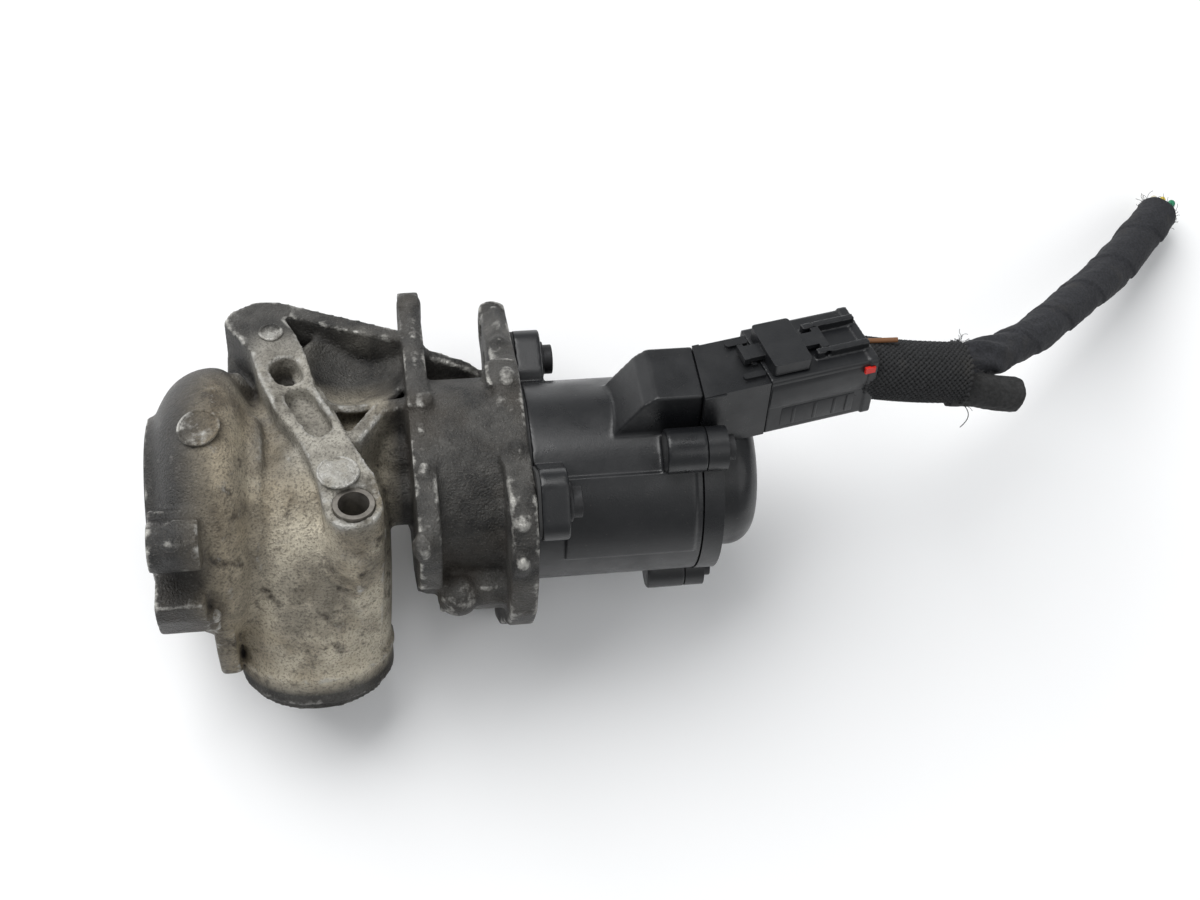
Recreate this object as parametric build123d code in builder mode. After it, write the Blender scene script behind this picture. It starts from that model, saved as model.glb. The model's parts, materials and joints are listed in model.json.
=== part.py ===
from build123d import *
import os
from math import cos, pi, radians, sin, tan

# Electric exhaust gas recirculation valve lying on its gas inlet flange.
# X is the valve axis (toward the motor), Z is up, the origin is the centre of the outlet mouth.
# Stations along the axis are counted from a datum 5 mm in front of the mouth.

# ---- driving dimensions, mm ----
lean = 30.0            # roll of the casting's draw direction about the valve axis
floor_z = -46.0        # face of the gas inlet flange

mouth_x = 5.0          # station of the outlet mouth
lug_x = 6.4            # faces of the bell lugs
mouth_bore_r = 20.0
mouth_rim_r = 24.0
crown_r = 22.2         # domed crown over the inlet pipe
inlet_pipe_r = 20.6
inlet_bore_r = 17.0
inlet_lip_r = 19.5
inlet_bead_r = 21.2
inlet_axis_x = 46.0
inlet_axis_offset = -8.0
inlet_length = 50.0    # from the valve axis to the lip

neck_r = 10.0
neck_bore_r = 7.6
front_flange_x = 74.5
front_flange_t = 6.0
rear_flange_x = 98.0
joint_x = 105.4        # machined face that carries the actuator
body_r = 29.5
gas_x = 87.0
gas_y = 2.0
gas_bore_r = 10.0
gas_bolt_gap = 36.0
gas_bolt_r = 3.3
lug_hole_r = 3.4
lug_hole_at = (46.0, 15.5)

stem_r = 3.0
seat_x = 63.0
spring_seat_x = 99.5
retainer_x = 113.0
stem_end_x = 118.0

gasket_t = 0.8
housing_r = 27.5
housing_wall = 2.5
seam_x = 152.0         # joint between motor housing and end cover
ear_radius = 36.6
ear_angles = (-7.5, 112.5, -105.0)
ear_t = 7.5
screw_r = 2.5
cover_r = 27.7
cover_t = 5.5
cover_screw_radius = 31.8
cover_angles = (93.0, -20.0, -137.0)
cover_screw_r = 1.95
dome_r = 21.6
dome_end_x = 169.2

bearing_r = 12.0
sleeve_r = 6.0
ball_r = 1.9
ball_circle = 9.0
spindle_r = 3.9

plug_yaw = 12.0
plug_mid_z = 29.5      # height of the connector's middle along the draw direction
plug_mid_w = 0.5
plug_w = 22.0
plug_h = 20.0
socket_end = 17.0
plug_end = 49.0
nose_w = 15.0
nose_h = 14.4
nose_shift = -1.0      # the nose sits off the middle of the plug
socket_w = 19.4

run_gap = 0.1          # clearance of parts that move
fit_gap = 0.05         # clearance of parts that are fitted

os.makedirs("parts", exist_ok=True)

# ---- frames ----
tilt_c = cos(radians(lean))
tilt_s = sin(radians(lean))
draw = Plane(origin=(-mouth_x, 0, 0), x_dir=(1, 0, 0), z_dir=(0, tilt_s, tilt_c))
axial = Plane(origin=(-mouth_x, 0, 0))
flank = Plane(origin=(-mouth_x, 0, 0), x_dir=(1, 0, 0), z_dir=(0, -tilt_c, tilt_s))


def across(x):
    """Plane square to the valve axis, its own x and y along the casting's y and draw direction."""
    return Plane(origin=(x - mouth_x, 0, 0), x_dir=(0, tilt_c, -tilt_s), z_dir=(1, 0, 0))


def level(x):
    """Plane square to the valve axis with level x and upright y."""
    return Plane.YZ.offset(x - mouth_x)


def cast(x, y, z):
    """Point given by its station and the casting's own draw frame."""
    return Vector(x - mouth_x, y * tilt_c + z * tilt_s, -y * tilt_s + z * tilt_c)


def heading(x, y, z):
    """Direction given in the casting's own draw frame."""
    return Vector(x, y * tilt_c + z * tilt_s, -y * tilt_s + z * tilt_c)


def polar(radius, angle):
    return (radius * cos(radians(angle)), radius * sin(radians(angle)))


yaw_c = cos(radians(plug_yaw))
yaw_s = sin(radians(plug_yaw))
plug_axis = heading(yaw_c, yaw_s, 0)
plug_side = heading(-yaw_s, yaw_c, 0)
plug_up = heading(0, 0, 1)
plug_base = cast(seam_x, 0, plug_mid_z) + plug_side * plug_mid_w


def mate(s):
    """Plane square to the connector's own direction, a distance s from its base."""
    return Plane(origin=plug_base + plug_axis * s, x_dir=plug_side, z_dir=plug_axis)


# top plane of the connector: x along the plug, y across it
def plug_deck(h):
    return Plane(origin=plug_base + plug_up * h, x_dir=plug_axis, z_dir=plug_up)


pipe_dir = heading(0, -0.333, -0.943)
pipe_start = cast(inlet_axis_x, inlet_axis_offset, 0)


def pipe_plane(t):
    return Plane(origin=pipe_start + pipe_dir * t, x_dir=(1, 0, 0), z_dir=pipe_dir)


# ---- casting: mixing elbow, arm, neck, two flanges and gas inlet in one piece ----
with BuildPart() as valve_body:
    # outlet bell
    with BuildSketch(axial):
        with BuildLine():
            Polyline((mouth_x, 0), (mouth_x, mouth_rim_r), (mouth_x + 2, mouth_rim_r + 0.4))
            Spline(
                (mouth_x + 2, mouth_rim_r + 0.4), (9, 28.2), (12, 32.2), (16, 35), (21, 36.4), (25.5, 35.8),
                (28.5, 33), (31, 28), (34, 24), (40, 20), (48, 15), (56, 11),
            )
            Polyline((56, 11), (56, 0), (mouth_x, 0))
        make_face()
    revolve(axis=Axis.X)
    # inlet pipe with its domed crown
    with BuildSketch(pipe_plane(-1)):
        Circle(crown_r)
    with BuildSketch(pipe_plane(22)):
        Circle(crown_r - 0.4)
    with BuildSketch(pipe_plane(inlet_length - 10)):
        Circle(inlet_pipe_r)
    loft()
    with Locations(pipe_start + pipe_dir * -1):
        Sphere(crown_r)
    # bead and machined lip
    with BuildSketch(pipe_plane(inlet_length - 12)):
        Circle(inlet_pipe_r)
    with BuildSketch(pipe_plane(inlet_length - 8)):
        Circle(inlet_bead_r)
    loft()
    with BuildSketch(pipe_plane(inlet_length - 8)):
        Circle(inlet_bead_r)
    extrude(amount=5.5)
    with BuildSketch(pipe_plane(inlet_length - 4)):
        Circle(inlet_lip_r)
    extrude(amount=4)
    # lugs on the front of the bell
    with BuildSketch(across(lug_x)):
        with Locations((-33, 20.4)):
            Circle(6.6)
        Polygon((-26, 26), (-37.5, 15), (-30, 10), (-20, 20), align=None)
    extrude(amount=13)
    with BuildSketch(across(lug_x)):
        Polygon((-26, 6), (-41.6, 6), (-41.6, 0.5), (-38.5, -8.5), (-30, -13), (-22, -8), align=None)
    extrude(amount=13)
    with BuildSketch(draw.offset(-9)):
        with Locations((20.5, -36.4)):
            RectangleRounded(3.6, 4, 1.2)
    extrude(amount=7)
    # lug at the back of the bell
    with BuildSketch(across(lug_x)):
        with Locations((33, -20.4)):
            Circle(7.2)
        Polygon((26, -26), (38.5, -15), (30, -8), (18, -16), align=None)
    extrude(amount=12)
    # web between bell and pipe
    with BuildSketch(across(19.5)):
        Polygon((-24, -10), (-35.5, -12), (-34.5, -24), (-31, -37.5), (-20, -40), (-10, -28), align=None)
    extrude(amount=5.5)
    # arm from the back corner to the bush boss
    with BuildSketch(draw.offset(9)):
        Polygon(
            (26, 39.5), (28, 43.6), (34.9, 47.4), (40, 46), (45.6, 34), (48.3, 25), (50.5, 12), (54.6, 2),
            (59, -8), (64.5, -19), (66, -27), (50.5, -27), (49.5, -18), (45, -6), (39.5, 4), (35.5, 16),
            (33.5, 27), (30, 33), align=None,
        )
    extrude(amount=21)
    with BuildSketch(draw.offset(-3)):
        Polygon((26, 24), (26, 39.5), (28, 43.6), (34.9, 47.4), (40, 46), (42, 38), (41, 24), align=None)
    extrude(amount=20)
    # the arm's top falls toward the boss
    with BuildSketch(across(39)):
        Polygon((-2, 30.2), (-31, 25), (-60, 25), (-60, 60), (-2, 60), align=None)
    extrude(amount=32, mode=Mode.SUBTRACT)
    with BuildSketch(draw.offset(4)):
        with Locations((58.5, -27.5)):
            Circle(7.6)
    extrude(amount=21)
    # buttress under the boss
    with BuildSketch(draw.offset(-26)):
        Polygon((51.6, -20), (65.2, -20), (64, -30.5), (58.5, -33.5), (53, -31), align=None)
    extrude(amount=32, taper=-3)
    # dished web between arm and front flange
    with BuildSketch(draw.offset(11)):
        Polygon((36, 46), (72, 31.5), (76, 31), (76, 8), (68, 6.5), (60, -3.5), (54, -4), (46, 30), align=None)
    extrude(amount=6.5)
    with BuildSketch(draw.offset(10)):
        Polygon((36, 47.6), (42, 46.6), (76, 31.8), (76, 27.8), (66, 30.7), (41, 42), (36, 41), align=None)
    extrude(amount=20)
    with BuildSketch(draw.offset(10)):
        Polygon(
            (76, 10), (76, 6.2), (68.5, 4.2), (61.5, -5.8), (55, -7.5), (53.4, -3), (59, -1.8), (66, 8.4),
            align=None,
        )
    extrude(amount=16.5)
    # front flange
    with BuildSketch(across(front_flange_x)):
        with BuildLine():
            FilletPolyline(
                (54.4, 14), (49.6, 29), (4, 30.2), (-35, 21.8), (-38.6, 13), (-36.6, 0), (-27, -11), (-20.4, -20.4),
                (-4, -31), (20, -28), (36, -10), (41, 7.2), (51, 7), radius=2.4, close=True,
            )
        make_face()
    extrude(amount=front_flange_t)
    # rear flange
    with BuildSketch(across(rear_flange_x)):
        with BuildLine():
            FilletPolyline(
                (54.8, 13), (52, 20.4), (15, 30.8), (2, 30.8), (-15, 27.4), (-33, 29), (-40.6, 19), (-42.6, 6),
                (-41.4, -8), (-35, -20), (-25, -31), (-16, -43.4), (-6.4, -52.4), (4, -50.5), (14, -44.6), (24, -38),
                (33, -22), (39, -4), (42, 7.2), (51, 7), radius=2.4, close=True,
            )
        make_face()
    extrude(amount=joint_x - rear_flange_x)
    # mid body
    with BuildSketch(level(front_flange_x + 2)):
        Circle(body_r)
    extrude(amount=rear_flange_x - front_flange_x - 1)
    # gusset and ledge between the flanges
    with BuildSketch(flank.offset(-31)):
        Polygon((80, 24.6), (80, 4), (99, 4), (99, 12), (93, 18), align=None)
    extrude(amount=3.6)
    with BuildSketch(across(80)):
        Polygon((-20, -2.6), (-34.6, -3.4), (-36, -9), (-31, -17), (-20, -20), align=None)
    extrude(amount=20)
    # nubs left by the casting tool
    with BuildSketch(draw.offset(22)):
        with Locations((77.5, 44)):
            Circle(3.5)
    extrude(amount=8.3)
    with BuildSketch(draw.offset(12)):
        with Locations((101.4, 48)):
            Circle(3.8)
    extrude(amount=10)
    with BuildSketch(draw.offset(16)):
        with Locations((101.2, -16.4)):
            Circle(4.1)
        with Locations((100.4, 12)):
            RectangleRounded(9.8, 11.5, 2.6)
        with Locations((77.6, 3.4)):
            RectangleRounded(7.6, 5.2, 1.2)
    extrude(amount=12)
    with BuildSketch(draw.offset(24)):
        with Locations((100.6, 12)):
            RectangleRounded(9, 10.5, 2.4)
        with Locations((77.6, 3.4)):
            RectangleRounded(7.2, 4.6, 1.2)
    extrude(amount=7.6)
    with BuildSketch(draw.offset(30)):
        with Locations((39.3, 33.8)):
            Circle(2.9)
    extrude(amount=0.5)
    with BuildSketch(draw.offset(25)):
        with Locations((55.6, -18.6)):
            Circle(3)
    extrude(amount=2.6)
    # gas inlet pipe and foot flange
    with BuildSketch(axial.offset(floor_z)):
        with Locations((gas_x, gas_y)):
            Circle(gas_bore_r + 3)
        with Locations((gas_x, gas_y - gas_bolt_gap / 2), (gas_x, gas_y + gas_bolt_gap / 2)):
            Circle(8)
        make_hull()
    extrude(amount=9)
    with BuildSketch(axial.offset(floor_z + 8)):
        with Locations((gas_x, gas_y)):
            Circle(gas_bore_r + 3)
    extrude(amount=30)
    # ---- hollows ----
    with BuildSketch(axial):
        with BuildLine():
            Polyline((mouth_x - 1, 0), (mouth_x - 1, mouth_bore_r), (mouth_x + 9, mouth_bore_r), (15, 25.4))
            Spline((15, 25.4), (17.4, 29), (20.6, 31.4), (24, 31), (27, 27.8), (30, 22.2), (35, 18.5), (44, 14))
            Polyline((44, 14), (54, 9.5), (54, 0), (mouth_x - 1, 0))
        make_face()
    revolve(axis=Axis.X, mode=Mode.SUBTRACT)
    with BuildSketch(pipe_plane(-1)):
        Circle(inlet_bore_r)
    extrude(amount=inlet_length + 3, mode=Mode.SUBTRACT)
    with Locations(pipe_start + pipe_dir * -1):
        Sphere(inlet_bore_r, mode=Mode.SUBTRACT)
    with BuildSketch(level(48)):
        Circle(9)
    extrude(amount=10.5, mode=Mode.SUBTRACT)
    # neck, its inner end standing in the duct around the valve seat
    with BuildSketch(level(58)):
        Circle(neck_r)
    extrude(amount=20)
    # face groove of the outlet ring
    with BuildSketch(level(mouth_x - 0.5)):
        Circle(mouth_bore_r + 3)
        Circle(mouth_bore_r + 1, mode=Mode.SUBTRACT)
    extrude(amount=2.0, mode=Mode.SUBTRACT)
    # neck bore, gas chamber and gas inlet
    with BuildSketch(level(57)):
        Circle(neck_bore_r)
    extrude(amount=25, mode=Mode.SUBTRACT)
    with BuildSketch(level(78.5)):
        Circle(15)
    extrude(amount=15, mode=Mode.SUBTRACT)
    with BuildSketch(axial.offset(floor_z - 1)):
        with Locations((gas_x, gas_y)):
            Circle(gas_bore_r)
    extrude(amount=34, mode=Mode.SUBTRACT)
    with BuildSketch(axial.offset(floor_z - 1)):
        with Locations((gas_x, gas_y - gas_bolt_gap / 2), (gas_x, gas_y + gas_bolt_gap / 2)):
            Circle(gas_bolt_r)
    extrude(amount=11, mode=Mode.SUBTRACT)
    # guide bore, seal seat and spring seat
    with BuildSketch(level(90)):
        Circle(6)
    extrude(amount=6.4, mode=Mode.SUBTRACT)
    with BuildSketch(level(96.4)):
        Circle(7)
    extrude(amount=6, mode=Mode.SUBTRACT)
    with BuildSketch(level(spring_seat_x)):
        Circle(14.5)
    extrude(amount=9, mode=Mode.SUBTRACT)
    # screw holes for the actuator
    with BuildSketch(level(rear_flange_x - 1)):
        with Locations(*[polar(ear_radius, a) for a in ear_angles]):
            Circle(screw_r + fit_gap)
    extrude(amount=10, mode=Mode.SUBTRACT)
    # mounting hole through both back lobes
    with BuildSketch(across(front_flange_x - 1)):
        with Locations(lug_hole_at):
            Circle(lug_hole_r)
    extrude(amount=joint_x - front_flange_x + 2, mode=Mode.SUBTRACT)
    # screw holes of the bell lugs
    with BuildSketch(across(2)):
        with Locations((-33, 20.4), (33, -20.4)):
            Circle(2.55)
    extrude(amount=11, mode=Mode.SUBTRACT)
    # arm hole, trough and bush bore
    with BuildSketch(draw.offset(21)):
        with Locations((42.8, 18.5)):
            SlotOverall(11, 8, rotation=-70)
    extrude(amount=12, mode=Mode.SUBTRACT)
    with BuildSketch(draw.offset(2)):
        with Locations((43.2, 18.5)):
            Circle(3.3)
    extrude(amount=30, mode=Mode.SUBTRACT)
    with BuildSketch(draw.offset(25)):
        with Locations((48.3, 3)):
            SlotOverall(19, 7.4, rotation=-66)
    extrude(amount=8, mode=Mode.SUBTRACT)
    with BuildSketch(draw.offset(8)):
        with Locations((58.5, -27.5)):
            Circle(5.4)
    extrude(amount=20, mode=Mode.SUBTRACT)
valve_body.part.label = "valve_body"
export_step(valve_body.part, "parts/valve_body.step")
print("valve_body solids", len(valve_body.part.solids()), "volume", round(valve_body.part.volume))

# ---- valve inside the casting ----
with BuildPart() as boss_bush:
    with BuildSketch(draw.offset(8)):
        with Locations((58.5, -27.5)):
            Circle(5.4)
            Circle(4.1, mode=Mode.SUBTRACT)
    extrude(amount=17.6)
boss_bush.part.label = "boss_bush"
export_step(boss_bush.part, "parts/boss_bush.step")

with BuildPart() as outlet_ring:
    with Locations(level(mouth_x + 0.6)):
        Torus(mouth_bore_r + 2, 0.9)
outlet_ring.part.label = "outlet_ring"
export_step(outlet_ring.part, "parts/outlet_ring.step")

seat_inner_r = 6.2
head_r = 7.2
with BuildPart() as valve_seat:
    with BuildSketch(axial):
        Polygon(
            (seat_x - 4, neck_bore_r), (seat_x + 2, neck_bore_r), (seat_x + 2, seat_inner_r),
            (seat_x - 2.6, seat_inner_r), (seat_x - 4, seat_inner_r + 1.0), align=None,
        )
    revolve(axis=Axis.X)
valve_seat.part.label = "valve_seat"
export_step(valve_seat.part, "parts/valve_seat.step")

with BuildPart() as poppet_valve:
    with BuildSketch(axial):
        Polygon(
            (seat_x - 6.2, 0), (seat_x - 6.2, head_r - 0.4), (seat_x - 5.6, head_r), (seat_x - 4, head_r),
            (seat_x - 2.6, seat_inner_r - 0.02), (seat_x - 1.6, stem_r + 1.4), (seat_x + 3, stem_r),
            (retainer_x + 1.9, stem_r), (retainer_x + 1.9, stem_r - 0.6), (retainer_x + 3.1, stem_r - 0.6),
            (retainer_x + 3.1, stem_r), (stem_end_x - 0.5, stem_r), (stem_end_x, stem_r - 0.5),
            (stem_end_x, 0), align=None,
        )
    revolve(axis=Axis.X)
poppet_valve.part.label = "poppet_valve"
export_step(poppet_valve.part, "parts/poppet_valve.step")

with BuildPart() as stem_guide:
    with BuildSketch(level(88.5)):
        Circle(6)
        Circle(stem_r + fit_gap, mode=Mode.SUBTRACT)
    extrude(amount=7.9)
stem_guide.part.label = "stem_guide"
export_step(stem_guide.part, "parts/stem_guide.step")

with BuildPart() as stem_seal:
    with BuildSketch(axial):
        Polygon(
            (96.4, stem_r + fit_gap), (97.4, stem_r + fit_gap), (98.0, 5.2), (99.2, 5.2),
            (99.2, 7), (96.4, 7), align=None,
        )
    revolve(axis=Axis.X)
stem_seal.part.label = "stem_seal"
export_step(stem_seal.part, "parts/stem_seal.step")

spring_wire = 1.6
spring_mean_r = 9.6
spring_start = spring_seat_x + spring_wire / 2
spring_run = retainer_x - spring_seat_x - spring_wire
with BuildPart() as return_spring:
    with BuildLine() as coil:
        Helix(
            spring_run / 4, spring_run, spring_mean_r,
            center=(spring_start - mouth_x, 0, 0), direction=(1, 0, 0),
        )
    with BuildSketch(Plane(origin=coil.line @ 0, z_dir=coil.line % 0)):
        Circle(spring_wire / 2)
    sweep(is_frenet=True)
return_spring.part.label = "return_spring"
export_step(return_spring.part, "parts/return_spring.step")

clip_x = retainer_x + 1.95
with BuildPart() as spring_retainer:
    with BuildSketch(axial):
        Polygon(
            (retainer_x, stem_r + fit_gap), (retainer_x - 1, stem_r + fit_gap), (retainer_x - 1, 7.6),
            (retainer_x, 8.2), (retainer_x, 12.2), (retainer_x + 1.2, 12.2), (clip_x - 0.05, 6.4),
            (clip_x - 0.05, stem_r + fit_gap), align=None,
        )
    revolve(axis=Axis.X)
spring_retainer.part.label = "spring_retainer"
export_step(spring_retainer.part, "parts/spring_retainer.step")

with BuildPart() as retainer_clip:
    with BuildSketch(level(clip_x)):
        Circle(5)
        Circle(stem_r - 0.55, mode=Mode.SUBTRACT)
        with Locations((4, 0)):
            Rectangle(6, 3.2, mode=Mode.SUBTRACT)
    extrude(amount=1.1)
retainer_clip.part.label = "retainer_clip"
export_step(retainer_clip.part, "parts/retainer_clip.step")

# ---- joint between casting and actuator ----
housing_x = joint_x + gasket_t
ear_end_x = housing_x + ear_t
ear_size = 19.0
ear_mid_r = housing_r + 6.7
sleeve_outer_r = 4.3
chamber_r = 16.0
with BuildPart() as joint_gasket:
    with BuildSketch(level(joint_x)):
        Circle(housing_r)
        for angle in ear_angles:
            with Locations(polar(ear_mid_r, angle)):
                RectangleRounded(ear_size, ear_size - 1, 5.5, rotation=angle)
        Circle(chamber_r, mode=Mode.SUBTRACT)
        with Locations(*[polar(ear_radius, a) for a in ear_angles]):
            Circle(screw_r + 0.4, mode=Mode.SUBTRACT)
    extrude(amount=gasket_t)
joint_gasket.part.label = "joint_gasket"
export_step(joint_gasket.part, "parts/joint_gasket.step")

with BuildPart() as ear_sleeves:
    with BuildSketch(level(housing_x)):
        with Locations(*[polar(ear_radius, a) for a in ear_angles]):
            Circle(sleeve_outer_r)
            Circle(screw_r + 0.3, mode=Mode.SUBTRACT)
    extrude(amount=ear_t)
ear_sleeves.part.label = "ear_sleeves"
export_step(ear_sleeves.part, "parts/ear_sleeves.step")

with BuildPart() as housing_screws:
    with BuildSketch(level(ear_end_x)):
        with Locations(*[polar(ear_radius, a) for a in ear_angles]):
            Circle(5.2)
    extrude(amount=1.1)
    with BuildSketch(level(ear_end_x + 1)):
        with Locations(*[polar(ear_radius, a) for a in ear_angles]):
            Circle(4.2)
    extrude(amount=2.7)
    with BuildSketch(level(rear_flange_x + 1)):
        with Locations(*[polar(ear_radius, a) for a in ear_angles]):
            Circle(screw_r)
    extrude(amount=ear_end_x - rear_flange_x)
    with BuildSketch(level(ear_end_x + 1.9)):
        with Locations(*[polar(ear_radius, a) for a in ear_angles]):
            RegularPolygon(2.5, 6)
    extrude(amount=3, mode=Mode.SUBTRACT)
housing_screws.part.label = "housing_screws"
export_step(housing_screws.part, "parts/housing_screws.step")

# ---- motor housing ----
bulkhead_x = 118.5
motor_x = 121.5
motor_bore_r = housing_r - housing_wall
box_half = 9.7
with BuildPart() as motor_housing:
    with BuildSketch(level(housing_x)):
        Circle(housing_r)
    extrude(amount=seam_x - housing_x)
    with BuildSketch(level(housing_x)):
        for angle in ear_angles:
            with Locations(polar(ear_mid_r, angle)):
                RectangleRounded(ear_size, ear_size, 5.5, rotation=angle)
    extrude(amount=ear_t)
    # columns for the cover screws
    with BuildSketch(level(seam_x - 11)):
        with Locations(*[polar(cover_screw_radius, a) for a in cover_angles]):
            Circle(6.1)
    extrude(amount=11)
    # raised panel on the side of the housing
    with BuildSketch(level(ear_end_x + 0.7)):
        Circle(housing_r + 0.8)
        Circle(housing_r - 1, mode=Mode.SUBTRACT)
        Polygon((0, 0), polar(42, 103), polar(52, 129), polar(42, 155), align=None, mode=Mode.INTERSECT)
    extrude(amount=seam_x - ear_end_x - 3)
    # terminal box with its sloping front
    with BuildSketch(flank):
        Polygon((127, 22), (127.6, 25), (136, 36.4), (139.4, 38.9), (seam_x, 38.9), (seam_x, 20), align=None)
    extrude(amount=box_half, both=True)
    # pockets, front chamber, guide bore and motor bore
    with BuildSketch(level(housing_x - 1)):
        Circle(motor_bore_r - 0.2)
        Circle(chamber_r + 2, mode=Mode.SUBTRACT)
    extrude(amount=10, mode=Mode.SUBTRACT)
    with BuildSketch(level(housing_x - 1)):
        Circle(chamber_r)
    extrude(amount=bulkhead_x - housing_x + 1, mode=Mode.SUBTRACT)
    with BuildSketch(level(bulkhead_x - 1)):
        Circle(7)
    extrude(amount=6, mode=Mode.SUBTRACT)
    with BuildSketch(level(motor_x)):
        Circle(motor_bore_r)
    extrude(amount=seam_x - motor_x + 1, mode=Mode.SUBTRACT)
    with BuildSketch(level(motor_x - 1)):
        Circle(bearing_r + 2)
        Circle(bearing_r, mode=Mode.SUBTRACT)
    extrude(amount=6)
    with BuildSketch(flank):
        Polygon((140, 27), (140, 36.6), (seam_x + 1, 36.6), (seam_x + 1, 27), align=None)
    extrude(amount=box_half - 2.2, both=True, mode=Mode.SUBTRACT)
    # holes for sleeves and cover screws
    with BuildSketch(level(housing_x - 1)):
        with Locations(*[polar(ear_radius, a) for a in ear_angles]):
            Circle(sleeve_outer_r)
    extrude(amount=ear_t + 2, mode=Mode.SUBTRACT)
    with BuildSketch(level(seam_x - 9.5)):
        with Locations(*[polar(cover_screw_radius, a) for a in cover_angles]):
            Circle(cover_screw_r + fit_gap)
    extrude(amount=11, mode=Mode.SUBTRACT)
motor_housing.part.label = "motor_housing"
export_step(motor_housing.part, "parts/motor_housing.step")

with BuildPart() as spindle_guide:
    with BuildSketch(level(bulkhead_x)):
        Circle(7)
        Circle(spindle_r + run_gap, mode=Mode.SUBTRACT)
        with Locations((0, 3.6), (0, -3.6)):
            Rectangle(5, 1)
    extrude(amount=motor_x - bulkhead_x)
spindle_guide.part.label = "spindle_guide"
export_step(spindle_guide.part, "parts/spindle_guide.step")

# ---- motor ----
front_bearing_x = 122.2
rear_bearing_x = 151.2
bearing_w = 4.5
ball_count = 7
bearing_xs = (front_bearing_x, rear_bearing_x)
with BuildPart() as bearing_outer_rings:
    for x in bearing_xs:
        with BuildSketch(axial):
            with Locations((x + bearing_w / 2, (10.6 + bearing_r) / 2)):
                Rectangle(bearing_w, bearing_r - 10.6)
            with Locations((x + bearing_w / 2, ball_circle)):
                Circle(ball_r + fit_gap, mode=Mode.SUBTRACT)
        revolve(axis=Axis.X)
bearing_outer_rings.part.label = "bearing_outer_rings"
export_step(bearing_outer_rings.part, "parts/bearing_outer_rings.step")

with BuildPart() as bearing_inner_rings:
    for x in bearing_xs:
        with BuildSketch(axial):
            with Locations((x + bearing_w / 2, (7.4 + sleeve_r) / 2)):
                Rectangle(bearing_w, 7.4 - sleeve_r)
            with Locations((x + bearing_w / 2, ball_circle)):
                Circle(ball_r + fit_gap, mode=Mode.SUBTRACT)
        revolve(axis=Axis.X)
bearing_inner_rings.part.label = "bearing_inner_rings"
export_step(bearing_inner_rings.part, "parts/bearing_inner_rings.step")

with BuildPart() as bearing_balls:
    for x in bearing_xs:
        with Locations(*[(x - mouth_x + bearing_w / 2, *polar(ball_circle, 51 * i)) for i in range(ball_count)]):
            Sphere(ball_r)
bearing_balls.part.label = "bearing_balls"
export_step(bearing_balls.part, "parts/bearing_balls.step")

rotor_front_x = front_bearing_x + bearing_w
with BuildPart() as rotor_sleeve:
    with BuildSketch(axial):
        bore_r = spindle_r + run_gap
        Polygon(
            (front_bearing_x - 0.2, bore_r), (front_bearing_x - 0.2, sleeve_r), (rotor_front_x, sleeve_r),
            (rotor_front_x, 8), (rear_bearing_x, 8), (rear_bearing_x, sleeve_r),
            (rear_bearing_x + bearing_w + 0.6, sleeve_r), (rear_bearing_x + bearing_w + 0.6, bore_r), align=None,
        )
    revolve(axis=Axis.X)
rotor_sleeve.part.label = "rotor_sleeve"
export_step(rotor_sleeve.part, "parts/rotor_sleeve.step")

core_x = 128.6
core_len = 12.0
core_r = 18.4
slot_count = 10
with BuildPart() as rotor_core:
    with BuildSketch(level(core_x)):
        Circle(core_r)
        Circle(8, mode=Mode.SUBTRACT)
        with PolarLocations(14.4, slot_count):
            Rectangle(8, 3.4, mode=Mode.SUBTRACT)
    extrude(amount=core_len)
rotor_core.part.label = "rotor_core"
export_step(rotor_core.part, "parts/rotor_core.step")

with BuildPart() as rotor_windings:
    with BuildSketch(level(core_x - 1.6)):
        with PolarLocations(14.1, slot_count):
            Rectangle(7, 3.2)
    extrude(amount=core_len + 3.2)
    for x in (core_x - 1.6, core_x + core_len + 0.1):
        with BuildSketch(level(x)):
            Circle(17.2)
            Circle(10.8, mode=Mode.SUBTRACT)
        extrude(amount=1.5)
rotor_windings.part.label = "rotor_windings"
export_step(rotor_windings.part, "parts/rotor_windings.step")

commutator_r = 12.5
with BuildPart() as commutator:
    with BuildSketch(level(143)):
        Circle(commutator_r)
        Circle(8, mode=Mode.SUBTRACT)
        with PolarLocations(commutator_r, slot_count):
            Rectangle(2, 0.5, mode=Mode.SUBTRACT)
    extrude(amount=5.5)
commutator.part.label = "commutator"
export_step(commutator.part, "parts/commutator.step")

can_r = motor_bore_r - fit_gap
can_inner_r = can_r - 1.5
with BuildPart() as motor_can:
    with BuildSketch(level(122.4)):
        Circle(can_r)
        Circle(bearing_r + 2.1, mode=Mode.SUBTRACT)
    extrude(amount=1.4)
    with BuildSketch(level(122.4)):
        Circle(can_r)
        Circle(can_inner_r, mode=Mode.SUBTRACT)
    extrude(amount=25.6)
motor_can.part.label = "motor_can"
export_step(motor_can.part, "parts/motor_can.step")

with BuildPart() as field_magnets:
    with BuildSketch(level(126)):
        Circle(can_inner_r)
        Circle(19.2, mode=Mode.SUBTRACT)
        Rectangle(60, 13, mode=Mode.SUBTRACT)
    extrude(amount=17)
field_magnets.part.label = "field_magnets"
export_step(field_magnets.part, "parts/field_magnets.step")

with BuildPart() as brush_plate:
    with BuildSketch(level(146.5)):
        Circle(can_inner_r)
        Circle(13.4, mode=Mode.SUBTRACT)
    extrude(amount=1.5)
    with BuildSketch(level(143.2)):
        with Locations((0, 16.6), (0, -16.6)):
            Rectangle(7.4, 6)
    extrude(amount=3.4)
    with BuildSketch(level(143.5)):
        with Locations((0, 17), (0, -17)):
            Rectangle(5, 12)
    extrude(amount=3, mode=Mode.SUBTRACT)
brush_plate.part.label = "brush_plate"
export_step(brush_plate.part, "parts/brush_plate.step")

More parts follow.
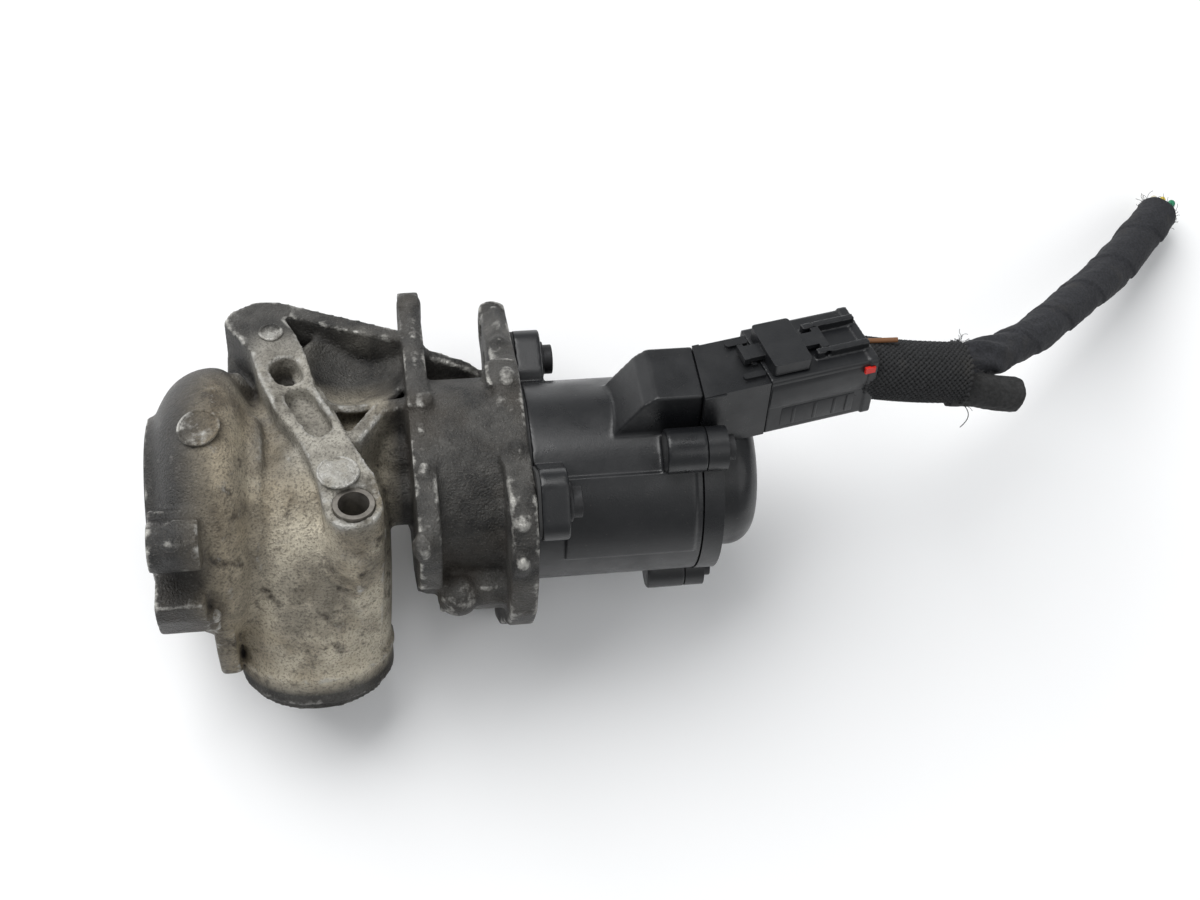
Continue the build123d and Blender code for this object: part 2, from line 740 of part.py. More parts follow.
with BuildPart() as carbon_brushes:
    with BuildSketch(level(143.5)):
        with Locations((0, 16.3), (0, -16.3)):
            Rectangle(5, 7.6)
        Circle(commutator_r, mode=Mode.SUBTRACT)
    extrude(amount=3)
carbon_brushes.part.label = "carbon_brushes"
export_step(carbon_brushes.part, "parts/carbon_brushes.step")

with BuildPart() as brush_springs:
    with BuildSketch(level(143.8)):
        with Locations((0, 20.5), (0, -20.5)):
            Rectangle(4, 0.8)
            Rectangle(1, 0.8)
    extrude(amount=2.4)
brush_springs.part.label = "brush_springs"
export_step(brush_springs.part, "parts/brush_springs.step")

with BuildPart() as drive_spindle:
    with BuildSketch(level(stem_end_x)):
        Circle(spindle_r)
        with Locations((0, 4), (0, -4)):
            Rectangle(10, 2, mode=Mode.SUBTRACT)
    extrude(amount=11)
    with BuildSketch(level(stem_end_x + 10)):
        Circle(spindle_r)
    extrude(amount=29.5)
drive_spindle.part.label = "drive_spindle"
export_step(drive_spindle.part, "parts/drive_spindle.step")

with BuildPart() as sensor_magnet:
    with BuildSketch(level(stem_end_x + 39.5)):
        Circle(3.5)
    extrude(amount=3)
sensor_magnet.part.label = "sensor_magnet"
export_step(sensor_magnet.part, "parts/sensor_magnet.step")

# ---- end cover ----
cover_bore_r = 19.4
register_r = 24.9
cavity_s = 7.0
pin_gap = 4.6
pin_cols = (nose_shift - pin_gap, nose_shift, nose_shift + pin_gap)
pin_spots = [(w, h) for w in pin_cols for h in (3.2, -3.2)]
with BuildPart() as end_cover:
    with BuildSketch(mate(-4)):
        with Locations((nose_shift - 0.3, 0)):
            Rectangle(socket_w, plug_h - 0.6)
    extrude(amount=socket_end + 4)
    with BuildSketch(mate(-4)):
        with Locations((nose_shift - 0.3, -0.5)):
            Rectangle(socket_w + 1.2, plug_h)
    extrude(amount=8)
    # wings and catch on the socket's top
    with BuildSketch(plug_deck(9)):
        with Locations((13.5, 5.6), (13.5, -7.4)):
            RectangleRounded(6.4, 2, 0.8)
    extrude(amount=1.7)
    with BuildSketch(plug_deck(9)):
        with Locations((15.1, -0.5)):
            Rectangle(1.4, 7)
    extrude(amount=1.7)
    with BuildSketch(level(120)):
        Rectangle(120, 120)
    extrude(amount=seam_x - 120, mode=Mode.SUBTRACT)
    with BuildSketch(level(seam_x)):
        Circle(cover_r)
        with Locations(*[polar(cover_screw_radius, a) for a in cover_angles]):
            Circle(6)
    extrude(amount=cover_t)
    with BuildSketch(axial):
        with BuildLine():
            edge_r = 7.0
            Polyline((seam_x + 1, 0), (seam_x + 1, dome_r), (dome_end_x - edge_r, dome_r))
            RadiusArc((dome_end_x - edge_r, dome_r), (dome_end_x, dome_r - edge_r), edge_r)
            Polyline((dome_end_x, dome_r - edge_r), (dome_end_x, 0), (seam_x + 1, 0))
        make_face()
    revolve(axis=Axis.X)
    with BuildSketch(level(seam_x - 3.5)):
        Circle(register_r)
    extrude(amount=5)
    # ring groove, inner room, connector cavity and shaft for the pins
    with BuildSketch(level(seam_x - 2.6)):
        Circle(register_r + 1)
        Circle(23.2, mode=Mode.SUBTRACT)
    extrude(amount=2.2, mode=Mode.SUBTRACT)
    with BuildSketch(level(seam_x - 4)):
        Circle(21.8)
    extrude(amount=3.2, mode=Mode.SUBTRACT)
    with BuildSketch(level(seam_x - 4)):
        Circle(cover_bore_r)
    extrude(amount=14, mode=Mode.SUBTRACT)
    with BuildSketch(level(seam_x + 8)):
        Circle(17)
    extrude(amount=8, mode=Mode.SUBTRACT)
    with BuildSketch(mate(cavity_s)):
        with Locations((nose_shift, 0)):
            Rectangle(nose_w + 0.4, nose_h + 0.4)
    extrude(amount=socket_end, mode=Mode.SUBTRACT)
    with BuildSketch(plug_deck(-15)):
        with Locations((3.5, nose_shift)):
            Rectangle(2.2, pin_gap * 2 + 3)
    extrude(amount=20, mode=Mode.SUBTRACT)
    with BuildSketch(mate(3)):
        with Locations(*pin_spots):
            Rectangle(1.5, 0.8)
    extrude(amount=5, mode=Mode.SUBTRACT)
    with BuildSketch(level(seam_x - 1)):
        with Locations(*[polar(cover_screw_radius, a) for a in cover_angles]):
            Circle(cover_screw_r + 0.3)
    extrude(amount=8, mode=Mode.SUBTRACT)
end_cover.part.label = "end_cover"
export_step(end_cover.part, "parts/end_cover.step")

seal_wire_r = 0.9
with BuildPart() as cover_seal:
    with Locations(level(seam_x - 1.5)):
        Torus(motor_bore_r - seal_wire_r, seal_wire_r)
cover_seal.part.label = "cover_seal"
export_step(cover_seal.part, "parts/cover_seal.step")

with BuildPart() as cover_screws:
    with BuildSketch(level(seam_x + cover_t)):
        with Locations(*[polar(cover_screw_radius, a) for a in cover_angles]):
            Circle(3.5)
    extrude(amount=2.2)
    with BuildSketch(level(seam_x - 8.5)):
        with Locations(*[polar(cover_screw_radius, a) for a in cover_angles]):
            Circle(cover_screw_r)
    extrude(amount=cover_t + 8.5)
    with BuildSketch(level(seam_x + cover_t + 0.8)):
        with Locations(*[polar(cover_screw_radius, a) for a in cover_angles]):
            RegularPolygon(1.8, 6)
    extrude(amount=3, mode=Mode.SUBTRACT)
cover_screws.part.label = "cover_screws"
export_step(cover_screws.part, "parts/cover_screws.step")

with BuildPart() as bearing_holder:
    with BuildSketch(level(rear_bearing_x)):
        Circle(cover_bore_r - fit_gap)
        Circle(bearing_r, mode=Mode.SUBTRACT)
    extrude(amount=6)
    with BuildSketch(level(rear_bearing_x + 5.2)):
        Circle(bearing_r + 1)
        Circle(10.8, mode=Mode.SUBTRACT)
    extrude(amount=0.8)
bearing_holder.part.label = "bearing_holder"
export_step(bearing_holder.part, "parts/bearing_holder.step")

with BuildPart() as wave_washer:
    with BuildSketch(level(rear_bearing_x + bearing_w + 0.05)):
        Circle(bearing_r - 0.2)
        Circle(10.9, mode=Mode.SUBTRACT)
    extrude(amount=0.6)
wave_washer.part.label = "wave_washer"
export_step(wave_washer.part, "parts/wave_washer.step")

with BuildPart() as sensor_board:
    with BuildSketch(level(164)):
        Circle(16.9)
    extrude(amount=1.4)
    with BuildSketch(level(162.6)):
        RectangleRounded(6, 5, 0.5)
    extrude(amount=1.5)
    with BuildSketch(level(163)):
        with Locations((9, 4), (-9, -3), (2, -10)):
            Rectangle(3.2, 2)
    extrude(amount=1.1)
sensor_board.part.label = "sensor_board"
export_step(sensor_board.part, "parts/sensor_board.step")

with BuildPart() as connector_pins:
    with BuildSketch(mate(2.7)):
        with Locations(*[(w, 3.2) for w in pin_cols]):
            Rectangle(1.5, 0.8)
    extrude(amount=11)
    with BuildSketch(mate(3.7)):
        with Locations(*[(w, -3.2) for w in pin_cols]):
            Rectangle(1.5, 0.8)
    extrude(amount=10)
    with BuildSketch(mate(2.7)):
        with Locations(*[(w, -3.4) for w in pin_cols]):
            Rectangle(1.5, 13.2)
    extrude(amount=0.5)
    with BuildSketch(mate(3.7)):
        with Locations(*[(w, -6.4) for w in pin_cols]):
            Rectangle(1.5, 7.2)
    extrude(amount=0.5)
connector_pins.part.label = "connector_pins"
export_step(connector_pins.part, "parts/connector_pins.step")

# ---- harness plug ----
plug_start = socket_end + 0.2
contact_w = 2.4
contact_h = 1.8
latch_pivot = Plane(
    origin=plug_base + plug_axis * 35.5 + plug_up * 11.4, x_dir=plug_axis, z_dir=-plug_side,
)
with BuildPart() as plug_housing:
    with BuildSketch(mate(plug_start)):
        RectangleRounded(plug_w, plug_h, 1.2)
    extrude(amount=plug_end - plug_start)
    with BuildSketch(mate(cavity_s + 0.3)):
        with Locations((nose_shift, 0)):
            Rectangle(nose_w, nose_h)
    extrude(amount=plug_start - cavity_s)
    # rim at the rear and at the front
    with BuildSketch(mate(plug_end - 2.6)):
        RectangleRounded(plug_w + 1, plug_h + 0.6, 1.4)
    extrude(amount=2.6)
    # side panels
    with BuildSketch(mate(22)):
        with Locations((-plug_w / 2, -4.5), (plug_w / 2, -4.5)):
            Rectangle(1.6, 6)
    extrude(amount=21, mode=Mode.SUBTRACT)
    with BuildSketch(mate(24)):
        with Locations((-plug_w / 2, 4), (plug_w / 2, 4)):
            Rectangle(1.2, 5)
    extrude(amount=10, mode=Mode.SUBTRACT)
    # ribs that carry the latch
    with BuildSketch(plug_deck(plug_h / 2 - 0.5)):
        with Locations((40.2, 4.6), (40.2, -5.6)):
            Rectangle(15.6, 2)
    extrude(amount=3)
    # rear room, contact chambers, wire holes and lock slot
    with BuildSketch(mate(38)):
        with Locations((nose_shift, -1.2)):
            Rectangle(nose_w, 13)
    extrude(amount=12, mode=Mode.SUBTRACT)
    with BuildSketch(mate(cavity_s)):
        with Locations(*pin_spots):
            Rectangle(contact_w, contact_h)
    extrude(amount=25.4, mode=Mode.SUBTRACT)
    with BuildSketch(mate(30)):
        with Locations(*pin_spots):
            Circle(0.95)
    extrude(amount=9, mode=Mode.SUBTRACT)
    with BuildSketch(plug_deck(6)):
        with Locations((46.4, -4)):
            Rectangle(3.1, 16.1)
    extrude(amount=2, mode=Mode.SUBTRACT)
    # pivot holes of the latch
    with BuildSketch(latch_pivot):
        Circle(0.9)
    extrude(amount=7, both=True, mode=Mode.SUBTRACT)
plug_housing.part.label = "plug_housing"
export_step(plug_housing.part, "parts/plug_housing.step")

with BuildPart() as plug_latch:
    with BuildSketch(plug_deck(10.9)):
        with Locations((24.4, -0.5)):
            Rectangle(24.4, 5)
        with Locations((35.5, -0.5)):
            Rectangle(2.4, 8)
    extrude(amount=1.5)
    with BuildSketch(plug_deck(10.4)):
        with Locations((23.8, -1)):
            RectangleRounded(11, 17, 1)
    extrude(amount=3.6)
    with BuildSketch(plug_deck(10.8)):
        with Locations((12.9, -0.5)):
            Rectangle(1.6, 6)
    extrude(amount=2)
    with BuildSketch(latch_pivot):
        Circle(0.85)
    extrude(amount=5.4, both=True)
plug_latch.part.label = "plug_latch"
export_step(plug_latch.part, "parts/plug_latch.step")

with BuildPart() as plug_contacts:
    with BuildSketch(mate(cavity_s + 1.2)):
        with Locations(*pin_spots):
            Rectangle(contact_w, contact_h)
            Rectangle(1.7, 1.0, mode=Mode.SUBTRACT)
    extrude(amount=22)
plug_contacts.part.label = "plug_contacts"
export_step(plug_contacts.part, "parts/plug_contacts.step")

with BuildPart() as wire_seal:
    with BuildSketch(mate(38)):
        with Locations((nose_shift, -1.2)):
            Rectangle(nose_w, 13)
        with Locations(*pin_spots):
            Circle(0.95, mode=Mode.SUBTRACT)
    extrude(amount=4)
wire_seal.part.label = "wire_seal"
export_step(wire_seal.part, "parts/wire_seal.step")

with BuildPart() as plug_leads:
    with BuildSketch(mate(cavity_s + 23.2)):
        with Locations(*pin_spots):
            Circle(0.9)
    extrude(amount=17.8)
plug_leads.part.label = "plug_leads"
export_step(plug_leads.part, "parts/plug_leads.step")

with BuildPart() as terminal_lock:
    with BuildSketch(plug_deck(6.05)):
        with Locations((46.4, -4)):
            Rectangle(3, 16)
    extrude(amount=1.9)
terminal_lock.part.label = "terminal_lock"
export_step(terminal_lock.part, "parts/terminal_lock.step")


# ---- harness ----
def bend_radii(points):
    """Largest sensible bend at each inner point of a route."""
    radii = []
    for before, here, after in zip(points, points[1:], points[2:]):
        run_in = here - before
        run_out = after - here
        turn = run_in.get_angle(run_out)
        radii.append(0.45 * min(run_in.length, run_out.length) / tan(radians(turn / 2)))
    return radii


sleeve_start = plug_base + plug_axis * (plug_end - 0.5) + plug_side * -3.2
sleeve_route = [sleeve_start, Vector(209.0, 18.9, 20.6), Vector(224.0, 19.0, 17.6)]
sleeve_r_out = 8.6
sleeve_r_in = 6.2
sleeve_radii = bend_radii(sleeve_route)
with BuildPart() as braided_sleeve:
    with BuildLine() as sleeve_path:
        FilletPolyline(*sleeve_route, radius=sleeve_radii)
    with BuildSketch(Plane(origin=sleeve_path.line @ 0, z_dir=sleeve_path.line % 0)):
        Circle(sleeve_r_out)
        Circle(sleeve_r_in, mode=Mode.SUBTRACT)
    sweep()
braided_sleeve.part.label = "braided_sleeve"
export_step(braided_sleeve.part, "parts/braided_sleeve.step")

loom_r = 6.0
loom_route = [
    Vector(216.0, 18.95, 19.2), Vector(241.5, 25.0, 9.6), Vector(272.0, 45.0, -11.5),
    Vector(301.0, 66.0, -30.0), Vector(317.8, 83.1, -36.8),
]
loom_radii = bend_radii(loom_route)
with BuildPart() as taped_loom:
    with BuildLine() as loom_path:
        FilletPolyline(*loom_route, radius=loom_radii)
    with BuildSketch(Plane(origin=loom_path.line @ 0, z_dir=loom_path.line % 0)):
        Circle(loom_r)
    sweep()
taped_loom.part.label = "taped_loom"
export_step(taped_loom.part, "parts/taped_loom.step")

stub_route = [Vector(224.5, 14.6, 15.6), Vector(243.0, 12.6, 13.0)]
with BuildPart() as branch_stub:
    with BuildLine():
        Polyline(*stub_route)
    with BuildSketch(Plane(origin=stub_route[0], z_dir=stub_route[1] - stub_route[0])):
        Circle(5.3)
    sweep()
branch_stub.part.label = "branch_stub"
export_step(branch_stub.part, "parts/branch_stub.step")

end_dir = (loom_route[-1] - loom_route[-2]).normalized()
with BuildPart() as cut_wires:
    with BuildSketch(Plane(origin=loom_route[-1], z_dir=end_dir)):
        with Locations((-3, 1.2), (-0.6, 3.2), (2.2, 2.2), (3.2, -0.8), (0.8, -2.8), (-2.2, -2)):
            Circle(1.05)
    extrude(amount=2.4)
cut_wires.part.label = "cut_wires"
export_step(cut_wires.part, "parts/cut_wires.step")

side_wire_start = plug_base + plug_axis * (plug_end - 0.2) + plug_side * -2.4 + plug_up * 8.9
with BuildPart() as brown_wire:
    with BuildLine() as brown_path:
        Polyline(side_wire_start, side_wire_start + plug_axis * 9 - plug_side * 2.2)
    with BuildSketch(Plane(origin=side_wire_start, z_dir=brown_path.line % 0)):
        Circle(0.7)
    sweep()
brown_wire.part.label = "brown_wire"
export_step(brown_wire.part, "parts/brown_wire.step")

print("sleeve radii", [round(r, 1) for r in sleeve_radii], "loom radii", [round(r, 1) for r in loom_radii])
loom_len = loom_path.wire().length
print("loom length", round(loom_len, 1), "sleeve length", round(sleeve_path.wire().length, 1))
print("loom volume", round(taped_loom.part.volume), "section x length", round(pi * loom_r**2 * loom_len))
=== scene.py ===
import json
import math
import random
import bpy
from mathutils import Matrix, Vector, noise


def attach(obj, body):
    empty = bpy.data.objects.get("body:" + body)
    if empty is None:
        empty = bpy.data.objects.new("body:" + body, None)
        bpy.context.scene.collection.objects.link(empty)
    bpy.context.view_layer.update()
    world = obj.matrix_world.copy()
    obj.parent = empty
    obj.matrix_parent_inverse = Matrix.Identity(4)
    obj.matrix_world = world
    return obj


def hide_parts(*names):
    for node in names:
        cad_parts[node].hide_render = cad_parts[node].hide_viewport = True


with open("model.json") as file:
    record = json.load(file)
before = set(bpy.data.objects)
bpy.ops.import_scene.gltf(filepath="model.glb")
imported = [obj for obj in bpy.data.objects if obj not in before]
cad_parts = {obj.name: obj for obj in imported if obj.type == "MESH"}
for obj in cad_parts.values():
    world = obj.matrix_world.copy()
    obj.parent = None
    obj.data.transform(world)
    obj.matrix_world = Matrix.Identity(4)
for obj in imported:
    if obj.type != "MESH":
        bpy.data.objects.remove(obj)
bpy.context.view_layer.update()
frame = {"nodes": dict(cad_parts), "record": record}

# ---- frames of the object ----
# The casting lies rolled by LEAN about the valve axis; stations along the axis are in mm.
LEAN = math.radians(30)
LEAN_COS = math.cos(LEAN)
LEAN_SIN = math.sin(LEAN)
MOUTH_STATION = 5.0
FLOOR_Z = -0.046


def heading(x, y, z):
    """Direction given in the casting's own upright frame."""
    return Vector((x, y * LEAN_COS + z * LEAN_SIN, -y * LEAN_SIN + z * LEAN_COS))


def cast(x, y, z):
    """Point in metres, from its station and its place in the casting's upright frame, in mm."""
    return heading(x - MOUTH_STATION, y, z) / 1000


YAW = math.radians(12)
PLUG_AXIS = heading(math.cos(YAW), math.sin(YAW), 0)
PLUG_SIDE = heading(-math.sin(YAW), math.cos(YAW), 0)
PLUG_UP = heading(0, 0, 1)
PLUG_BASE = cast(152, 0, 29.5) + PLUG_SIDE * 0.0005


def at_plug(s, w, h):
    """Point in metres along, across and above the connector's axis, in mm."""
    return PLUG_BASE + (PLUG_AXIS * s + PLUG_SIDE * w + PLUG_UP * h) / 1000


# ---- camera ----
camera_data = bpy.data.cameras.new("camera")
camera = bpy.data.objects.new("camera", camera_data)
bpy.context.scene.collection.objects.link(camera)
camera_data.sensor_width = 36
camera_data.lens = 55.5
camera_data.dof.use_dof = False
camera.matrix_world = Matrix((
    (0.98878, 0.06399, -0.13497, 0.052838),
    (-0.09389, 0.96901, -0.22848, -0.111849),
    (0.11617, 0.23859, 0.96415, 0.503175),
    (0, 0, 0, 1),
))
bpy.context.scene.camera = camera
bpy.context.scene.view_settings.view_transform = "Standard"

# ---- cords ----
LOOM_ROUTE = ((0.2160, 0.01895, 0.0192), (0.2415, 0.0250, 0.0096), (0.2720, 0.0450, -0.0115),
              (0.3010, 0.0660, -0.0300), (0.3178, 0.0831, -0.0368))
SLEEVE_ROUTE = (tuple(at_plug(48.5, -3.2, 0)), (0.2090, 0.0189, 0.0206), (0.2240, 0.0190, 0.0176))
STUB_ROUTE = ((0.2215, 0.0150, 0.0160), (0.2325, 0.0138, 0.0144), (0.2430, 0.0126, 0.0130))


def route_curve(name, points):
    data = bpy.data.curves.new(name, "CURVE")
    data.dimensions = "3D"
    spline = data.splines.new("NURBS")
    spline.points.add(len(points) - 1)
    for point, place in zip(spline.points, points):
        point.co = (*place, 1)
    spline.order_u = 3
    spline.use_endpoint_u = True
    data.resolution_u = 32
    obj = bpy.data.objects.new(name, data)
    bpy.context.scene.collection.objects.link(obj)
    return obj


def route_points(points, count):
    """Evenly spaced points, with their frames, along the NURBS spline through a route."""
    obj = route_curve("route", points)
    bpy.context.view_layer.update()
    mesh = bpy.data.meshes.new_from_object(obj.evaluated_get(bpy.context.evaluated_depsgraph_get()))
    line = [v.co.copy() for v in mesh.vertices]
    bpy.data.objects.remove(obj)
    bpy.data.meshes.remove(mesh)
    reach = [0.0]
    for a, b in zip(line, line[1:]):
        reach.append(reach[-1] + (b - a).length)
    frames = []
    side = None
    index = 0
    for i in range(count):
        want = reach[-1] * i / (count - 1)
        while index < len(line) - 2 and reach[index + 1] < want:
            index += 1
        step = line[index + 1] - line[index]
        spot = line[index] + step * ((want - reach[index]) / step.length)
        along = step.normalized()
        if side is None:
            side = along.cross(Vector((0, 0, 1))).normalized()
        side = (side - along * side.dot(along)).normalized()
        frames.append((spot, along, side, side.cross(along)))
    return frames, reach[-1]


def new_mesh(name, vertices, faces):
    mesh = bpy.data.meshes.new(name)
    mesh.from_pydata([tuple(v) for v in vertices], [], faces)
    mesh.update()
    obj = bpy.data.objects.new(name, mesh)
    bpy.context.scene.collection.objects.link(obj)
    return obj


def skin(name, frames, around, radius_at):
    """Closed skin round a route; radius_at(share, turn) gives its radius in metres."""
    vertices = []
    for i, (spot, along, side, up) in enumerate(frames):
        share = i / (len(frames) - 1)
        for j in range(around):
            turn = 2 * math.pi * j / around
            radius = radius_at(share, turn)
            vertices.append(spot + (side * math.cos(turn) + up * math.sin(turn)) * radius)
    faces = []
    for i in range(len(frames) - 1):
        for j in range(around):
            a = i * around + j
            b = i * around + (j + 1) % around
            faces.append((a, b, b + around, a + around))
    faces.append(tuple(reversed(range(around))))
    faces.append(tuple(range((len(frames) - 1) * around, len(frames) * around)))
    obj = new_mesh(name, vertices, faces)
    select_only(obj)
    bpy.ops.object.mode_set(mode="EDIT")
    bpy.ops.mesh.select_all(action="SELECT")
    bpy.ops.mesh.normals_make_consistent(inside=False)
    bpy.ops.object.mode_set(mode="OBJECT")
    bpy.ops.object.shade_smooth()
    return obj


def strands(name, lines, radius, resolution=1):
    """Thin threads, one poly spline for each list of points."""
    data = bpy.data.curves.new(name, "CURVE")
    data.dimensions = "3D"
    for line in lines:
        spline = data.splines.new("POLY")
        spline.points.add(len(line) - 1)
        for point, place in zip(spline.points, line):
            point.co = (*place, 1)
    data.bevel_depth = radius
    data.bevel_resolution = resolution
    data.use_fill_caps = True
    obj = bpy.data.objects.new(name, data)
    bpy.context.scene.collection.objects.link(obj)
    return obj


# ---- modelling helpers ----
def select_only(*objs):
    bpy.ops.object.select_all(action="DESELECT")
    for obj in objs:
        obj.select_set(True)
    bpy.context.view_layer.objects.active = objs[0]


def apply_all(obj):
    select_only(obj)
    for modifier in list(obj.modifiers):
        bpy.ops.object.modifier_apply(modifier=modifier.name)


def copy_node(node_name, new_name):
    """Merged copy of a CAD node, ready to be shaped."""
    obj = bpy.data.objects.new(new_name, frame["nodes"][node_name].data.copy())
    bpy.context.scene.collection.objects.link(obj)
    select_only(obj)
    bpy.ops.object.mode_set(mode="EDIT")
    bpy.ops.mesh.select_all(action="SELECT")
    bpy.ops.mesh.remove_doubles(threshold=0.00001)
    bpy.ops.object.mode_set(mode="OBJECT")
    return obj


def bake_place(obj):
    select_only(obj)
    bpy.ops.object.transform_apply(location=True, rotation=True, scale=True)
    return obj


def rod(a, b, radius, end_radius=None):
    """Round bar with domed ends between two points."""
    step = b - a
    bpy.ops.mesh.primitive_cone_add(
        vertices=20, radius1=radius, radius2=end_radius or radius, depth=step.length,
        location=(a + b) / 2, rotation=step.to_track_quat("Z", "Y").to_euler(),
    )
    bar = bake_place(bpy.context.active_object)
    ends = [ball(a, radius), ball(b, end_radius or radius)]
    select_only(bar, *ends)
    bpy.ops.object.join()
    return bar


def ball(place, radius, squash=(1, 1, 1)):
    bpy.ops.mesh.primitive_uv_sphere_add(segments=20, ring_count=12, radius=radius, location=place, scale=squash)
    return bake_place(bpy.context.active_object)


def ring(place, axis, major, minor, share=1.0, start=0.0):
    """Round-section ring, or a part of one, about an axis."""
    lean = axis.to_track_quat("Z", "Y").to_matrix()
    count = 40
    line = []
    for i in range(count + 1):
        turn = start + 2 * math.pi * share * i / count
        line.append(place + lean @ Vector((major * math.cos(turn), major * math.sin(turn), 0)))
    obj = strands("ring", [line], minor, 3)
    select_only(obj)
    bpy.ops.object.convert(target="MESH")
    return bpy.context.active_object


def finish_piece(obj, name, body, slot, *nodes):
    obj.name = name
    obj.data.materials.clear()
    obj.data.materials.append(MATERIALS[slot])
    if nodes:
        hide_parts(*nodes)
    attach(obj, body)
    return obj


# ---- shared effects ----
def make_group(name, inputs, outputs):
    group = bpy.data.node_groups.new(name, "ShaderNodeTree")
    for label, value in inputs:
        socket = group.interface.new_socket(label, in_out="INPUT", socket_type="NodeSocketFloat")
        socket.default_value = value
    for label in outputs:
        group.interface.new_socket(label, in_out="OUTPUT", socket_type="NodeSocketFloat")
    return group, group.nodes.new("NodeGroupInput"), group.nodes.new("NodeGroupOutput")


def noise_in(tree, scale_from, detail, rough):
    coords = tree.nodes.new("ShaderNodeTexCoord")
    node = tree.nodes.new("ShaderNodeTexNoise")
    node.inputs["Detail"].default_value = detail
    node.inputs["Roughness"].default_value = rough
    tree.links.new(coords.outputs["Object"], node.inputs["Vector"])
    if isinstance(scale_from, (int, float)):
        node.inputs["Scale"].default_value = scale_from
    else:
        tree.links.new(scale_from, node.inputs["Scale"])
    return node


def patch_group():
    """Irregular patches: a mask that is 1 where a noise passes from Low to High."""
    group, take, give = make_group("patches", [("Scale", 50), ("Low", 0.5), ("High", 0.6)], ["Mask"])
    cloud = noise_in(group, take.outputs["Scale"], 7, 0.62)
    spread = group.nodes.new("ShaderNodeMapRange")
    group.links.new(cloud.outputs["Fac"], spread.inputs["Value"])
    group.links.new(take.outputs["Low"], spread.inputs["From Min"])
    group.links.new(take.outputs["High"], spread.inputs["From Max"])
    group.links.new(spread.outputs["Result"], give.inputs["Mask"])
    return group


def grain_group():
    """Height of a rough skin, from a coarse and a fine noise."""
    group, take, give = make_group("grain", [("Coarse", 300), ("Fine", 1500), ("Share", 0.5)], ["Height"])
    coarse = noise_in(group, take.outputs["Coarse"], 4, 0.6)
    fine = noise_in(group, take.outputs["Fine"], 3, 0.6)
    blend = group.nodes.new("ShaderNodeMix")
    group.links.new(take.outputs["Share"], blend.inputs[0])
    group.links.new(coarse.outputs["Fac"], blend.inputs[2])
    group.links.new(fine.outputs["Fac"], blend.inputs[3])
    group.links.new(blend.outputs[0], give.inputs["Height"])
    return group


def crevice_group():
    """Masks of edges and of hollows, from the piece's own shading attribute, broken up by a noise."""
    group, take, give = make_group(
        "crevices", [("Edge", 0.6), ("Hollow", 0.4), ("Breakup", 0.25), ("Scale", 220)], ["Edges", "Hollows"])
    shade = group.nodes.new("ShaderNodeAttribute")
    shade.attribute_name = "shade"
    rough = noise_in(group, take.outputs["Scale"], 6, 0.65)
    centred = group.nodes.new("ShaderNodeMath")
    centred.operation = "SUBTRACT"
    centred.inputs[1].default_value = 0.5
    group.links.new(rough.outputs["Fac"], centred.inputs[0])
    broken = group.nodes.new("ShaderNodeMath")
    broken.operation = "MULTIPLY_ADD"
    group.links.new(centred.outputs[0], broken.inputs[0])
    group.links.new(take.outputs["Breakup"], broken.inputs[1])
    group.links.new(shade.outputs["Fac"], broken.inputs[2])
    for label, source, low, high in (("Edges", "Edge", 0.0, 0.08), ("Hollows", "Hollow", 0.0, -0.12)):
        shift = group.nodes.new("ShaderNodeMath")
        shift.operation = "SUBTRACT"
        group.links.new(broken.outputs[0], shift.inputs[0])
        group.links.new(take.outputs[source], shift.inputs[1])
        spread = group.nodes.new("ShaderNodeMapRange")
        spread.inputs["From Min"].default_value = low
        spread.inputs["From Max"].default_value = high
        group.links.new(shift.outputs[0], spread.inputs["Value"])
        group.links.new(spread.outputs["Result"], give.inputs[label])
    return group


PATCHES = patch_group()
GRAIN = grain_group()
CREVICES = crevice_group()


# ---- materials ----
def make_material(name, color, roughness, metallic=0.0):
    mat = bpy.data.materials.new(name)
    mat.use_nodes = True
    skin_node = mat.node_tree.nodes["Principled BSDF"]
    skin_node.inputs["Base Color"].default_value = (*color, 1)
    skin_node.inputs["Roughness"].default_value = roughness
    skin_node.inputs["Metallic"].default_value = metallic
    return mat


def place_group(mat, group, **values):
    node = mat.node_tree.nodes.new("ShaderNodeGroup")
    node.node_tree = group
    for label, value in values.items():
        node.inputs[label].default_value = value
    return node


def patches(mat, scale, low, high):
    return place_group(mat, PATCHES, Scale=scale, Low=low, High=high).outputs["Mask"]


def mix_tint(mat, mask, below, above):
    """Colour that goes from below to above by a mask; either may be a colour or a socket."""
    node = mat.node_tree.nodes.new("ShaderNodeMix")
    node.data_type = "RGBA"
    for value, place in ((mask, 0), (below, 6), (above, 7)):
        if isinstance(value, bpy.types.NodeSocket):
            mat.node_tree.links.new(value, node.inputs[place])
        elif isinstance(value, tuple):
            node.inputs[place].default_value = (*value, 1)
        else:
            node.inputs[place].default_value = value
    return node.outputs[2]


def mix_value(mat, mask, below, above):
    node = mat.node_tree.nodes.new("ShaderNodeMix")
    for value, place in ((mask, 0), (below, 2), (above, 3)):
        if isinstance(value, bpy.types.NodeSocket):
            mat.node_tree.links.new(value, node.inputs[place])
        else:
            node.inputs[place].default_value = value
    return node.outputs[0]


def sums(mat, operation, a, b):
    node = mat.node_tree.nodes.new("ShaderNodeMath")
    node.operation = operation
    node.use_clamp = True
    for value, place in ((a, 0), (b, 1)):
        if isinstance(value, bpy.types.NodeSocket):
            mat.node_tree.links.new(value, node.inputs[place])
        else:
            node.inputs[place].default_value = value
    return node.outputs[0]


